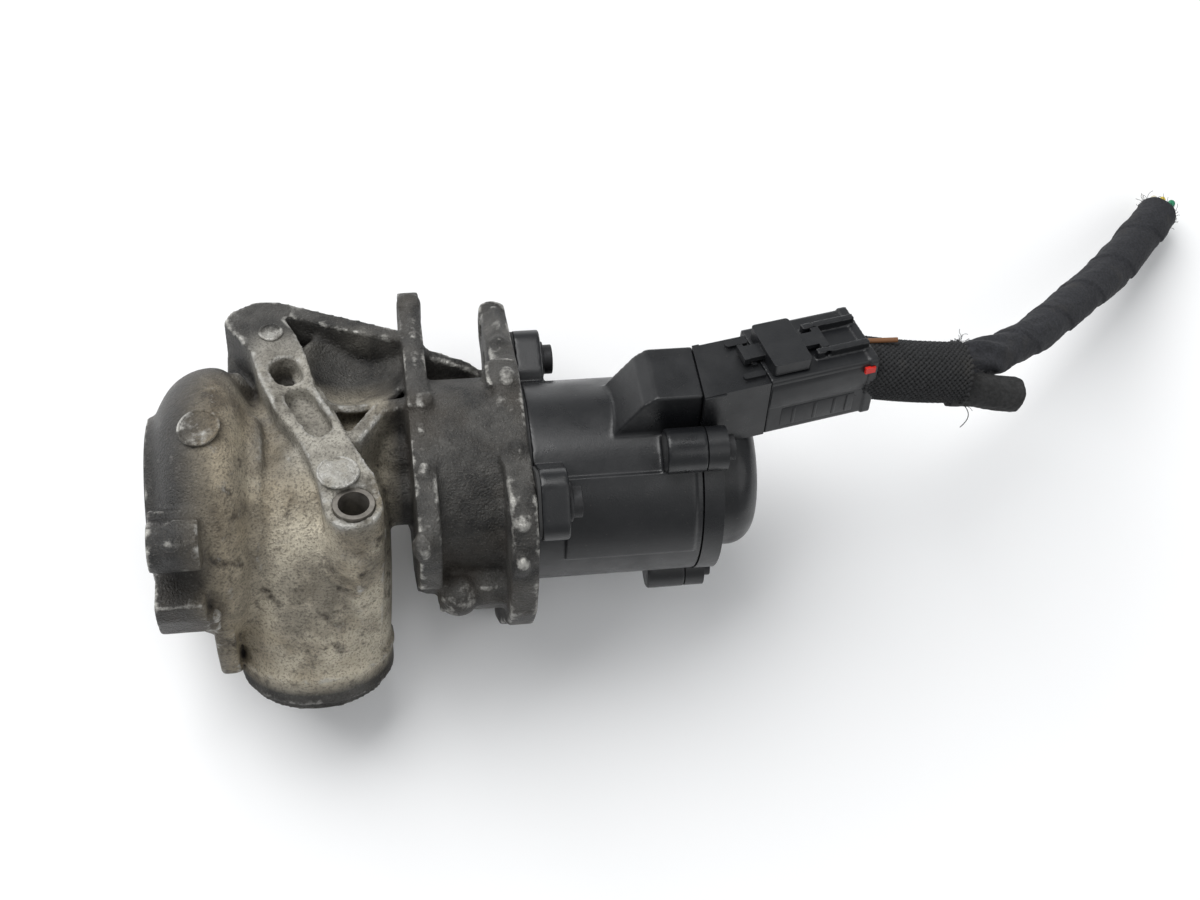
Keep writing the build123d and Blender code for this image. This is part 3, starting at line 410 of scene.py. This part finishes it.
def reach_mask(mat, direction, start, end):
    """0 to 1 as a place goes from start to end, in metres, along a direction of the object."""
    coords = mat.node_tree.nodes.new("ShaderNodeTexCoord")
    dot = mat.node_tree.nodes.new("ShaderNodeVectorMath")
    dot.operation = "DOT_PRODUCT"
    dot.inputs[1].default_value = direction
    mat.node_tree.links.new(coords.outputs["Object"], dot.inputs[0])
    spread = mat.node_tree.nodes.new("ShaderNodeMapRange")
    spread.inputs["From Min"].default_value = start
    spread.inputs["From Max"].default_value = end
    mat.node_tree.links.new(dot.outputs["Value"], spread.inputs["Value"])
    return spread.outputs["Result"]


def feed(mat, socket, name):
    mat.node_tree.links.new(socket, mat.node_tree.nodes["Principled BSDF"].inputs[name])


def roughen(mat, coarse, fine, share, strength, distance):
    height = place_group(mat, GRAIN, Coarse=coarse, Fine=fine, Share=share).outputs["Height"]
    node = mat.node_tree.nodes.new("ShaderNodeBump")
    node.inputs["Strength"].default_value = strength
    node.inputs["Distance"].default_value = distance
    mat.node_tree.links.new(height, node.inputs["Height"])
    feed(mat, node.outputs["Normal"], "Normal")


ALONG = (1, 0, 0)
UPRIGHT = tuple(heading(0, 0, 1))
TOPWARD = tuple(heading(0, 1, 0))


def cast_material():
    """Sand-cast aluminium: tan stained elbow with a painted highlight along its tube, grey arm, dark flanges, painted
    shade with grime in hollows, bright chips on edges.
    """
    mat = make_material("cast_aluminium", (0.3, 0.28, 0.25), 0.75)
    crevices = place_group(mat, CREVICES, Edge=0.745, Hollow=0.615, Breakup=0.30, Scale=260)
    tan = mix_tint(mat, patches(mat, 70, 0.34, 0.6), (0.085, 0.067, 0.045), (0.36, 0.31, 0.225))
    # painted highlight: the elbow's tube is made lighter where light falls on it, broken into uneven patches
    painted_highlight = sums(mat, "MULTIPLY", patches(mat, 42, 0.38, 0.58), reach_mask(mat, ALONG, 0.019, 0.033))
    tan = mix_tint(mat, painted_highlight, tan, (0.56, 0.51, 0.405))
    tan = mix_tint(mat, patches(mat, 160, 0.56, 0.7), tan, (0.045, 0.034, 0.024))
    grey = mix_tint(mat, patches(mat, 90, 0.36, 0.64), (0.010, 0.0098, 0.0093), (0.078, 0.075, 0.069))
    arm = mix_tint(mat, patches(mat, 80, 0.38, 0.6), (0.12, 0.11, 0.09), (0.40, 0.38, 0.33))
    on_elbow = sums(mat, "MULTIPLY", reach_mask(mat, ALONG, 0.008, 0.020), reach_mask(mat, ALONG, 0.067, 0.060))
    on_elbow = sums(mat, "MULTIPLY", on_elbow, reach_mask(mat, TOPWARD, 0.024, 0.008))
    color = mix_tint(mat, on_elbow, grey, tan)
    on_arm = sums(mat, "MULTIPLY", reach_mask(mat, ALONG, 0.026, 0.032), reach_mask(mat, ALONG, 0.062, 0.058))
    on_arm = sums(mat, "MULTIPLY", on_arm, reach_mask(mat, UPRIGHT, 0.0205, 0.0245))
    on_arm = sums(mat, "MULTIPLY", on_arm, reach_mask(mat, TOPWARD, 0.036, 0.024))
    color = mix_tint(mat, on_arm, color, arm)
    low_pipe = reach_mask(mat, tuple(heading(0, -0.333, -0.943)), 0.043, 0.047)
    color = mix_tint(mat, low_pipe, color, grey)
    black = sums(mat, "MULTIPLY", reach_mask(mat, ALONG, 0.019, 0.005), patches(mat, 60, 0.28, 0.48))
    color = mix_tint(mat, black, color, (0.018, 0.0175, 0.017))
    grime = sums(mat, "MULTIPLY", patches(mat, 32, 0.52, 0.64), 0.6)
    color = mix_tint(mat, grime, color, (0.045, 0.037, 0.028))
    pits = sums(mat, "MULTIPLY", patches(mat, 1500, 0.5, 0.6), 0.5)
    color = mix_tint(mat, pits, color, (0.035, 0.03, 0.025))
    sparkle = sums(mat, "MULTIPLY", patches(mat, 1900, 0.58, 0.68), 0.13)
    color = mix_tint(mat, sparkle, color, (0.55, 0.53, 0.48))
    # painted shade with grime: hollows are darkened from the piece's shade attribute
    color = mix_tint(mat, crevices.outputs["Hollows"], color, (0.02, 0.017, 0.014))
    chips = sums(mat, "MULTIPLY", crevices.outputs["Edges"], patches(mat, 110, 0.47, 0.56))
    color = mix_tint(mat, chips, color, (0.46, 0.45, 0.42))
    feed(mat, color, "Base Color")
    feed(mat, mix_value(mat, chips, 0.12, 0.75), "Metallic")
    feed(mat, mix_value(mat, chips, mix_value(mat, black, mix_value(mat, on_elbow, 0.56, 0.8), 0.42), 0.4), "Roughness")
    roughen(mat, 380, 1500, 0.55, 0.95, 0.0012)
    return mat


def plastic_material(name, color, roughness, dust=0.5, fine=2200):
    """Moulded plastic with handling dust and uneven gloss."""
    mat = make_material(name, color, roughness)
    dusty = tuple(0.55 * c + 0.036 for c in color)
    haze = sums(mat, "MULTIPLY", patches(mat, 48, 0.46, 0.78), dust)
    tint = mix_tint(mat, haze, color, dusty)
    flecks = sums(mat, "MULTIPLY", patches(mat, 900, 0.66, 0.72), dust)
    tint = mix_tint(mat, flecks, tint, (0.13, 0.12, 0.105))
    feed(mat, tint, "Base Color")
    feed(mat, mix_value(mat, patches(mat, 110, 0.35, 0.65), roughness - 0.05, roughness + 0.13), "Roughness")
    roughen(mat, 700, fine, 0.7, 0.35, 0.00012)
    return mat


def metal_material(name, color, roughness, metallic=1.0, tarnish=0.55):
    mat = make_material(name, color, roughness, metallic)
    dark = tuple(c * tarnish for c in color)
    feed(mat, mix_tint(mat, patches(mat, 260, 0.36, 0.64), dark, color), "Base Color")
    feed(mat, mix_value(mat, patches(mat, 400, 0.35, 0.65), roughness, roughness + 0.18), "Roughness")
    roughen(mat, 900, 2600, 0.6, 0.35, 0.0001)
    return mat


def cloth_material(name, color, scale, depth):
    """Woven tape, braid or rubbery cloth, lighter where it is rubbed."""
    mat = make_material(name, color, 0.88)
    worn = tuple(c * 1.9 + 0.004 for c in color)
    tint = mix_tint(mat, patches(mat, scale, 0.4, 0.64), color, worn)
    tint = mix_tint(mat, sums(mat, "MULTIPLY", patches(mat, 90, 0.55, 0.75), 0.5), tint, (0.05, 0.046, 0.04))
    feed(mat, tint, "Base Color")
    roughen(mat, scale, scale * 2.6, 0.5, 0.7, depth)
    return mat


MATERIALS = {
    "cast_aluminium": cast_material(),
    "bush_steel": metal_material("bush_steel", (0.30, 0.28, 0.25), 0.45, 0.8),
    "black_plastic": plastic_material("black_plastic", (0.0068, 0.0073, 0.0085), 0.30, 0.3),
    "plug_plastic": plastic_material("plug_plastic", (0.0082, 0.0088, 0.0102), 0.34, 0.25),
    "gasket_rubber": plastic_material("gasket_rubber", (0.02, 0.02, 0.02), 0.7),
    "seal_rubber": plastic_material("seal_rubber", (0.02, 0.02, 0.02), 0.6),
    "screw_steel": metal_material("screw_steel", (0.05, 0.05, 0.052), 0.45, 0.7),
    "sleeve_steel": metal_material("sleeve_steel", (0.4, 0.4, 0.4), 0.35),
    "valve_steel": metal_material("valve_steel", (0.42, 0.4, 0.37), 0.3),
    "spring_steel": metal_material("spring_steel", (0.25, 0.25, 0.26), 0.3),
    "bronze": metal_material("bronze", (0.45, 0.3, 0.14), 0.4),
    "rotor_steel": metal_material("rotor_steel", (0.3, 0.3, 0.31), 0.45),
    "copper": metal_material("copper", (0.55, 0.24, 0.1), 0.35),
    "magnet": plastic_material("magnet", (0.04, 0.04, 0.042), 0.6),
    "carbon": plastic_material("carbon", (0.02, 0.02, 0.02), 0.6),
    "can_steel": metal_material("can_steel", (0.42, 0.42, 0.42), 0.35),
    "bearing_steel": metal_material("bearing_steel", (0.5, 0.5, 0.5), 0.2),
    "inner_plastic": plastic_material("inner_plastic", (0.1, 0.06, 0.03), 0.5),
    "board": plastic_material("board", (0.02, 0.09, 0.04), 0.4),
    "pin_metal": metal_material("pin_metal", (0.5, 0.47, 0.4), 0.3),
    "red_plastic": plastic_material("red_plastic", (0.62, 0.02, 0.012), 0.4, 0.2),
    "braid": cloth_material("braid", (0.0105, 0.0108, 0.0115), 1100, 0.0002),
    "tape": cloth_material("tape", (0.0115, 0.012, 0.0145), 1500, 0.00022),
    "rubber_boot": cloth_material("rubber_boot", (0.0125, 0.0125, 0.0125), 700, 0.0004),
    "wire_pvc": plastic_material("wire_pvc", (0.42, 0.38, 0.1), 0.45, 0.3),
    "brown_pvc": plastic_material("brown_pvc", (0.16, 0.065, 0.02), 0.5, 0.3),
}
wire_tints = {
    "green": plastic_material("green_pvc", (0.02, 0.2, 0.1), 0.45, 0.3),
    "yellow": plastic_material("yellow_pvc", (0.6, 0.45, 0.06), 0.45, 0.3),
    "pale": plastic_material("pale_pvc", (0.62, 0.58, 0.46), 0.5, 0.3),
    "dark": plastic_material("dark_pvc", (0.02, 0.02, 0.022), 0.5, 0.3),
}

for part in frame["record"]["subparts"]:
    node = frame["nodes"][part["node"]]
    node.data.materials.clear()
    node.data.materials.append(MATERIALS[part["material_slot"]])


def shade_hollows(obj):
    """Writes the piece's hollows and edges to its colour attribute "shade"."""
    select_only(obj)
    obj.data.color_attributes.new("shade", "BYTE_COLOR", "CORNER")
    obj.data.color_attributes.active_color = obj.data.color_attributes["shade"]
    bpy.ops.object.mode_set(mode="VERTEX_PAINT")
    bpy.ops.paint.vertex_color_dirt(blur_strength=1.0, blur_iterations=1, dirt_angle=0.0)
    bpy.ops.object.mode_set(mode="OBJECT")


# ---- casting ----
def bead(places, radius):
    """Run of rounded bars through places given in the casting's frame, in mm."""
    points = [cast(*place) for place in places]
    return [rod(a, b, radius) for a, b in zip(points, points[1:])]


def bowl():
    """Dished web between the arm and the first flange."""
    bpy.ops.mesh.primitive_uv_sphere_add(segments=48, ring_count=32, radius=0.0195, location=cast(60.5, 24, 37.2))
    dish = bake_place(bpy.context.active_object)
    bpy.ops.object.mode_set(mode="EDIT")
    bpy.ops.mesh.select_all(action="SELECT")
    bpy.ops.mesh.bisect(plane_co=cast(60.5, 24, 25.0), plane_no=heading(0, 0, 1), clear_outer=True)
    bpy.ops.object.mode_set(mode="OBJECT")
    wall = dish.modifiers.new("wall", "SOLIDIFY")
    wall.thickness = 0.0022
    wall.offset = 1
    apply_all(dish)
    return dish


MARK_RIM = 0.0005


def foundry_marks():
    """Ejector discs with their raised rims and the round mark on the bell."""
    marks = []
    for place, normal, radius, height in (
        ((20.3, -7.0, 35.9), (-0.17, -0.17, 0.97), 0.0052, 0.0003),
        ((39.0, 33.6, 30.4), (0, 0, 1), 0.0029, 0.0003),
        ((55.0, -18.2, 27.6), (0, 0, 1), 0.0052, 0.0004),
    ):
        axis = heading(*normal).normalized()
        spot = cast(*place)
        marks.append(ring(spot + axis * height * 0.4, axis, radius, MARK_RIM))
        bpy.ops.mesh.primitive_cylinder_add(
            vertices=32, radius=radius * 0.97, depth=height * 2,
            location=spot, rotation=axis.to_track_quat("Z", "Y").to_euler(),
        )
        disc = bake_place(bpy.context.active_object)
        edge = disc.modifiers.new("edge", "BEVEL")
        edge.width = height * 0.6
        edge.segments = 2
        apply_all(disc)
        marks.append(disc)
    return marks


LUMP_SINK = 0.6        # mm that the lumps sit below the casting's skin
LUMP_SHARE = 0.93      # share of a lump's full size that its worn form keeps


def cast_details():
    """Ribs, hood, marks and lumps that the foundry left, fused with the casting when it is rounded."""
    lumps = []
    lumps.append(ring(cast(43.2, 19.6, 24.6), heading(0, 0, 1), 0.0056, 0.0017, 0.5, 0.1))
    lumps.append(rod(cast(50.6, 15.5, 24.4), cast(57.0, -3.0, 24.6), 0.0016))
    lumps.append(rod(cast(38.5, 15.5, 24.4), cast(46.2, -6.0, 24.6), 0.0016))
    lumps.append(rod(cast(50.6, -25.5, 13.5), cast(52.2, -31.2, 1.0), 0.0026, 0.0018))
    lumps.append(ball(cast(21.0, -38.2, -2.2), 0.0026, (0.75, 0.8, 1.15)))
    # bosses and lobes on the two plate flanges, the lower boss and the rounded lug of the bell
    for x, y, z, radius, squash in (
        (78.0, 2.6, 30.4, 0.0036, (0.8, 1, 1)),
        (77.2, -17.3, 25.0, 0.0034, (0.7, 1, 1)),
        (75.6, -36.0, 17.0, 0.0040, (0.8, 1, 1.3)),
        (101.6, 9.0, 30.2, 0.0048, (0.75, 1.1, 0.9)),
        (101.8, -14.6, 27.6, 0.0042, (0.6, 1, 1)),
        (101.0, -36.0, 24.2, 0.0034, (0.9, 1, 1)),
        (100.6, -41.0, 13.0, 0.0042, (0.7, 0.8, 1.5)),
        (84.8, -33.6, -6.4, 0.0062, (1, 1, 1)),
        (12.7, -35.6, 22.0, 0.0058, (0.9, 0.8, 1.1)),
        (101.4, 27.0, 26.4, 0.0036, (0.8, 1.2, 0.8)),
    ):
        lumps.append(ball(cast(x, y, z - LUMP_SINK), radius * LUMP_SHARE, squash))
    # uneven bead along the near edges of the flanges
    lumps += bead(((78.0, 41.6, 29.6), (77.6, 24.1, 29.0), (77.5, 11.9, 29.4), (77.3, -5.9, 28.4)), 0.0015)
    lumps += bead(((101.9, 47.0, 22.0), (101.4, 33.0, 26.2), (101.4, 20.0, 27.6), (101.8, -1.8, 29.2)), 0.0014)
    # fillets where the arm and the crown meet the bell
    lumps += bead(((28.6, 21.5, 24.0), (32.4, 22.6, 13.6), (35.8, 9.4, 19.6), (39.4, 1.6, 19.4), (43.0, -7.6, 21.4)),
                  0.0027)
    lumps += bead(((32.9, 5.4, 23.4), (33.3, -2.2, 23.6), (33.3, -10.8, 21.2), (33.0, -17.3, 17.2), (32.4, -24.0, 9.8),
                   (31.6, -26.8, -1.6), (29.4, -27.2, -17.0), (28.0, -26.8, -27.0)), 0.0026)
    # filled corner behind the arm and the rolled collar of the inlet
    lumps.append(ball(cast(72.0, 5.0, 9.6), 0.0075, (1, 1.2, 1)))
    pipe_way = heading(0, -0.333, -0.943)
    pipe_start = cast(46, -8, 0)
    lumps.append(ring(pipe_start + pipe_way * 0.0395, pipe_way, 0.0205, 0.0014))
    lumps.append(ring(pipe_start + pipe_way * 0.0462, pipe_way, 0.0203, 0.0011))
    lumps.append(bowl())
    return lumps


casting = copy_node("valve_body", "casting")
lumps = cast_details()
select_only(casting, *lumps)
bpy.ops.object.join()
remesh = casting.modifiers.new("remesh", "REMESH")
remesh.mode = "VOXEL"
remesh.voxel_size = 0.0008
soften = casting.modifiers.new("soften", "SMOOTH")
soften.factor = 0.5
soften.iterations = 4
apply_all(casting)
thin = casting.modifiers.new("thin", "DECIMATE")
thin.ratio = min(1.0, 185000 / (2 * len(casting.data.polygons)))
apply_all(casting)
marks = foundry_marks()
select_only(casting, *marks)
bpy.ops.object.join()
bpy.ops.object.shade_smooth()
shade_hollows(casting)
finish_piece(casting, "casting", "valve", "cast_aluminium", "valve_body")


# ---- moulded pieces ----
def soft_edges(node_name, width, limit=32):
    """Copy of a CAD node with its sharp edges rounded as a mould leaves them."""
    obj = copy_node(node_name, node_name + "_rounded")
    bpy.ops.object.mode_set(mode="EDIT")
    bpy.ops.mesh.select_all(action="SELECT")
    bpy.ops.mesh.dissolve_limited(angle_limit=math.radians(0.5))
    bpy.ops.object.mode_set(mode="OBJECT")
    edge = obj.modifiers.new("edge", "BEVEL")
    edge.width = width
    edge.segments = 3
    edge.limit_method = "ANGLE"
    edge.angle_limit = math.radians(limit)
    edge.use_clamp_overlap = True
    edge.miter_outer = "MITER_ARC"
    apply_all(obj)
    bpy.ops.object.shade_smooth_by_angle(angle=math.radians(38))
    level_normals(obj)
    return obj


def level_normals(obj):
    """Keeps large flat faces evenly lit beside their small rounded edges."""
    weigh = obj.modifiers.new("weigh", "WEIGHTED_NORMAL")
    weigh.keep_sharp = True
    apply_all(obj)


def melted_edges(node_name, voxel, passes, most):
    """Copy of a CAD node with every edge and inner corner rounded, as a thick moulding has them."""
    obj = copy_node(node_name, node_name + "_rounded")
    remesh = obj.modifiers.new("remesh", "REMESH")
    remesh.mode = "VOXEL"
    remesh.voxel_size = voxel * 1
    soften = obj.modifiers.new("soften", "SMOOTH")
    soften.factor = 0.5
    soften.iterations = passes
    apply_all(obj)
    thin = obj.modifiers.new("thin", "DECIMATE")
    thin.ratio = min(1.0, most / (2 * len(obj.data.polygons)))
    apply_all(obj)
    bpy.ops.object.shade_smooth()
    return obj


PANEL_WALL = 0.0008


def cheek():
    """Rounded upper side of the plug and the ribbed panel set into its lower side."""
    outline = ((-7.5, 9.9), (-9.4, 9.75), (-10.5, 9.1), (-11.1, 7.9), (-11.3, 6.0), (-11.3, 3.0), (-11.2, 0.4),
               (-10.9, -0.8), (-7.5, -0.8))
    ends = [[at_plug(s, w, h) for w, h in outline] for s in (17.5, 46.3)]
    count = len(outline)
    faces = [(i, (i + 1) % count, count + (i + 1) % count, count + i) for i in range(count)]
    faces += [tuple(reversed(range(count))), tuple(range(count, 2 * count))]
    pieces = [new_mesh("cheek", ends[0] + ends[1], faces)]
    for s, long, w, h, tall in (
        (32.4, 22.0, -10.75, -4.5, 6.8), (25.2, 1.1, -10.95, -4.5, 6), (31.6, 1.1, -10.95, -4.5, 6),
        (37.4, 1.1, -10.95, -4.5, 6), (41.2, 0.8, -10.95, -4.5, 6),
    ):
        bpy.ops.mesh.primitive_cube_add(size=1, location=(0, 0, 0))
        bar = bpy.context.active_object
        bar.matrix_world = Matrix.LocRotScale(
            at_plug(s, w, h), Matrix((PLUG_AXIS, PLUG_SIDE, PLUG_UP)).transposed(),
            (long / 1000, PANEL_WALL, tall / 1000),
        )
        pieces.append(bake_place(bar))
    for piece in pieces:
        select_only(piece)
        bpy.ops.object.mode_set(mode="EDIT")
        bpy.ops.mesh.select_all(action="SELECT")
        bpy.ops.mesh.normals_make_consistent(inside=False)
        bpy.ops.object.mode_set(mode="OBJECT")
        edge = piece.modifiers.new("edge", "BEVEL")
        edge.width = 0.0003
        edge.segments = 2
        edge.limit_method = "ANGLE"
        apply_all(piece)
    select_only(*pieces)
    bpy.ops.object.join()
    bpy.ops.object.shade_smooth_by_angle(angle=math.radians(38))
    return pieces[0]


SOFT = (
    ("end_cover", 0.0008, "valve", "black_plastic"),
    ("plug_latch", 0.0004, "latch", "plug_plastic"),
    ("housing_screws", 0.0003, "valve", "screw_steel"),
    ("cover_screws", 0.0002, "valve", "screw_steel"),
)
for node_name, width, body, slot in SOFT:
    finish_piece(soft_edges(node_name, width), node_name + "_rounded", body, slot, node_name)
finish_piece(melted_edges("motor_housing", 0.00045, 7, 160000), "motor_housing_rounded", "valve", "black_plastic",
             "motor_housing")
finish_piece(melted_edges("plug_housing", 0.0003, 4, 110000), "plug_housing_rounded", "plug", "plug_plastic",
             "plug_housing")
finish_piece(cheek(), "plug_cheek", "plug", "plug_plastic")


# ---- braided sleeve ----
def weave(turns, way):
    """Height of a strand as it passes over one crossing and under the next."""
    return math.cos(math.pi * turns) * way


def braid():
    """Two sets of helical strands that pass over and under each other round the sleeve."""
    per_set = 34
    points = 190
    frames, length = route_points(SLEEVE_ROUTE, points)
    twist = length / 0.0083
    lines = []
    rng = random.Random(4)
    for way in (1, -1):
        for k in range(per_set):
            line = []
            flare = rng.uniform(-0.0002, 0.0006)
            for i, (spot, along, side, up) in enumerate(frames):
                share = i / (points - 1)
                turn = 2 * math.pi * k / per_set + way * twist * share
                radius = 0.0079 + 0.00034 * weave(per_set * twist * share / math.pi, way)
                radius += 0.0004 * math.exp(-((share - 1) / 0.03) ** 2) + flare * math.exp(-((share - 1) / 0.02) ** 2)
                line.append(spot + (side * math.cos(turn) + up * math.sin(turn)) * radius)
            lines.append(line)
    return strands("braid_strands", lines, 0.00052), frames


braid_piece, sleeve_frames = braid()
finish_piece(braid_piece, "braid_strands", "plug", "braid", "braided_sleeve")
sleeve_core = skin("sleeve_core", sleeve_frames, 32, lambda share, turn: 0.0078)
finish_piece(sleeve_core, "sleeve_core", "plug", "braid")


# ---- taped loom ----
LOOM_LENGTH = 0.135
TAPE_PITCH = 0.021


def tape_radius(share, turn):
    """Tape wound in overlapping turns, thicker toward the cut end, with creases."""
    base = 0.0046 + 0.0016 * min(1, share * 1.35)
    wind = (share * LOOM_LENGTH / TAPE_PITCH + turn / (2 * math.pi)) % 1.0
    edge = 0.00055 * (1 - wind) if wind > 0.03 else 0.00055 * wind / 0.03
    crease = noise.noise(Vector((share * 22, math.cos(turn) * 1.6, math.sin(turn) * 1.6)))
    small = noise.noise(Vector((share * 90, math.cos(turn) * 4, math.sin(turn) * 4 + 7)))
    gather = 0.0010 * math.exp(-((share - 0.14) / 0.05) ** 2)
    return base + edge + crease * 0.00055 + small * 0.00015 + gather * (0.6 + 0.6 * math.cos(turn * 5 + share * 60))


loom_frames, loom_length = route_points(LOOM_ROUTE, 300)
loom = skin("loom_tape", loom_frames, 72, tape_radius)
finish_piece(loom, "loom_tape", "plug", "tape", "taped_loom")


# ---- cut wire ends, stub and loose threads ----
def cut_wires():
    """Insulated wires that stand out of the loom's cut end."""
    spot, along, side, up = loom_frames[-1]
    layout = (
        ("green", 0.0031, 20, 0.0017, 0.0030), ("green", 0.0030, 75, 0.0015, 0.0042),
        ("yellow", 0.0029, 130, 0.0013, 0.0030), ("pale", 0.0032, 185, 0.0015, 0.0034),
        ("yellow", 0.0031, 240, 0.0012, 0.0024), ("dark", 0.0034, 295, 0.0016, 0.0046),
        ("green", 0.0, 0, 0.0015, 0.0026), ("dark", 0.0046, 335, 0.0010, 0.0040),
    )
    groups = {}
    for tint, offset, angle, radius, reach in layout:
        turn = math.radians(angle)
        out = side * math.cos(turn) + up * math.sin(turn)
        start = spot + out * offset - along * 0.006
        end = spot + out * offset * 1.12 + along * reach
        stump = rod(start, end, radius, radius * 0.82)
        groups.setdefault(tint, []).append(stump)
    pieces = []
    for tint, stumps in groups.items():
        select_only(*stumps)
        if len(stumps) > 1:
            bpy.ops.object.join()
        piece = bpy.context.view_layer.objects.active
        bpy.ops.object.shade_smooth_by_angle(angle=math.radians(50))
        finish_piece(piece, "wire_ends_" + tint, "plug", "wire_pvc", *(("cut_wires",) if tint == "green" else ()))
        piece.data.materials.clear()
        piece.data.materials.append(wire_tints[tint])
        pieces.append(piece)
    return pieces


wire_pieces = cut_wires()


def stub_radius(share, turn):
    lump = noise.noise(Vector((share * 3, math.cos(turn) * 1.5, math.sin(turn) * 1.5 + 3)))
    rough = noise.noise(Vector((share * 14, math.cos(turn) * 5, math.sin(turn) * 5)))
    close = 0.0012 * max(0, (share - 0.94) / 0.06) ** 2
    return 0.0050 + lump * 0.0006 + rough * 0.0002 - close


stub_frames, _ = route_points(STUB_ROUTE, 60)
stub = skin("stub_boot", stub_frames, 56, stub_radius)
finish_piece(stub, "stub_boot", "plug", "rubber_boot", "branch_stub")


def stray(start, way, length, curl, rng):
    """One loose fibre that leaves start along way and curls."""
    line = [start]
    heading_now = way.normalized()
    steps = 14
    for i in range(steps):
        turn = Vector((rng.uniform(-1, 1), rng.uniform(-1, 1), rng.uniform(-1, 1))) * curl
        heading_now = (heading_now + turn).normalized()
        line.append(line[-1] + heading_now * (length / steps))
    return line


def loose_fibres():
    rng = random.Random(11)
    lines = []
    for frames, index, radius, count, reach in (
        (sleeve_frames, -1, 0.0080, 46, 0.0055), (sleeve_frames, 0, 0.0080, 16, 0.0025),
        (loom_frames, -1, 0.0060, 34, 0.0035),
    ):
        spot, along, side, up = frames[index]
        outward = along if index == -1 else -along
        for i in range(count):
            turn = rng.uniform(0, 2 * math.pi)
            out = side * math.cos(turn) + up * math.sin(turn)
            way = out * rng.uniform(0.3, 1.2) + outward
            lines.append(stray(spot + out * radius, way, reach * rng.uniform(0.4, 1), 0.35, rng))
    return strands("loose_fibres", lines, 0.00007)


finish_piece(loose_fibres(), "loose_fibres", "plug", "braid")


def hanging_thread():
    """The long thread that hangs from the end of the sleeve."""
    start = sleeve_frames[-1][0] - Vector((0, 0.0082, 0.0008))
    line = []
    for i in range(24):
        share = i / 23
        sway = Vector((0.0028 * math.sin(share * 2.6) - 0.0012 * share ** 3, -0.0066 * share, -0.004 * share))
        line.append(start + sway)
    return strands("hanging_thread", [line], 0.00013, 2)


finish_piece(hanging_thread(), "hanging_thread", "plug", "braid")

# ---- stage and light ----
bpy.ops.mesh.primitive_plane_add(size=6, location=(0.1, 0, FLOOR_Z - 0.0003))
floor = bpy.context.active_object
floor.name = "floor"
floor_mat = make_material("floor_white", (0.93, 0.932, 0.935), 0.55)
floor.data.materials.append(floor_mat)


def area_light(name, place, target, size, power):
    data = bpy.data.lights.new(name, "AREA")
    data.shape = "SQUARE"
    data.size = size
    data.energy = power
    obj = bpy.data.objects.new(name, data)
    bpy.context.scene.collection.objects.link(obj)
    obj.location = place
    obj.rotation_euler = (Vector(target) - Vector(place)).to_track_quat("-Z", "Y").to_euler()
    return obj


area_light("key", (-0.45, 0.75, 1.25), (0.12, 0, 0), 1.35, 27)
area_light("fill", (0.9, -0.6, 1.2), (0.12, 0, 0), 1.2, 4)
world = bpy.data.worlds.new("studio")
world.use_nodes = True
world.node_tree.nodes["Background"].inputs["Color"].default_value = (0.96, 0.98, 1.0, 1)
world.node_tree.nodes["Background"].inputs["Strength"].default_value = 0.42
bpy.context.scene.world = world
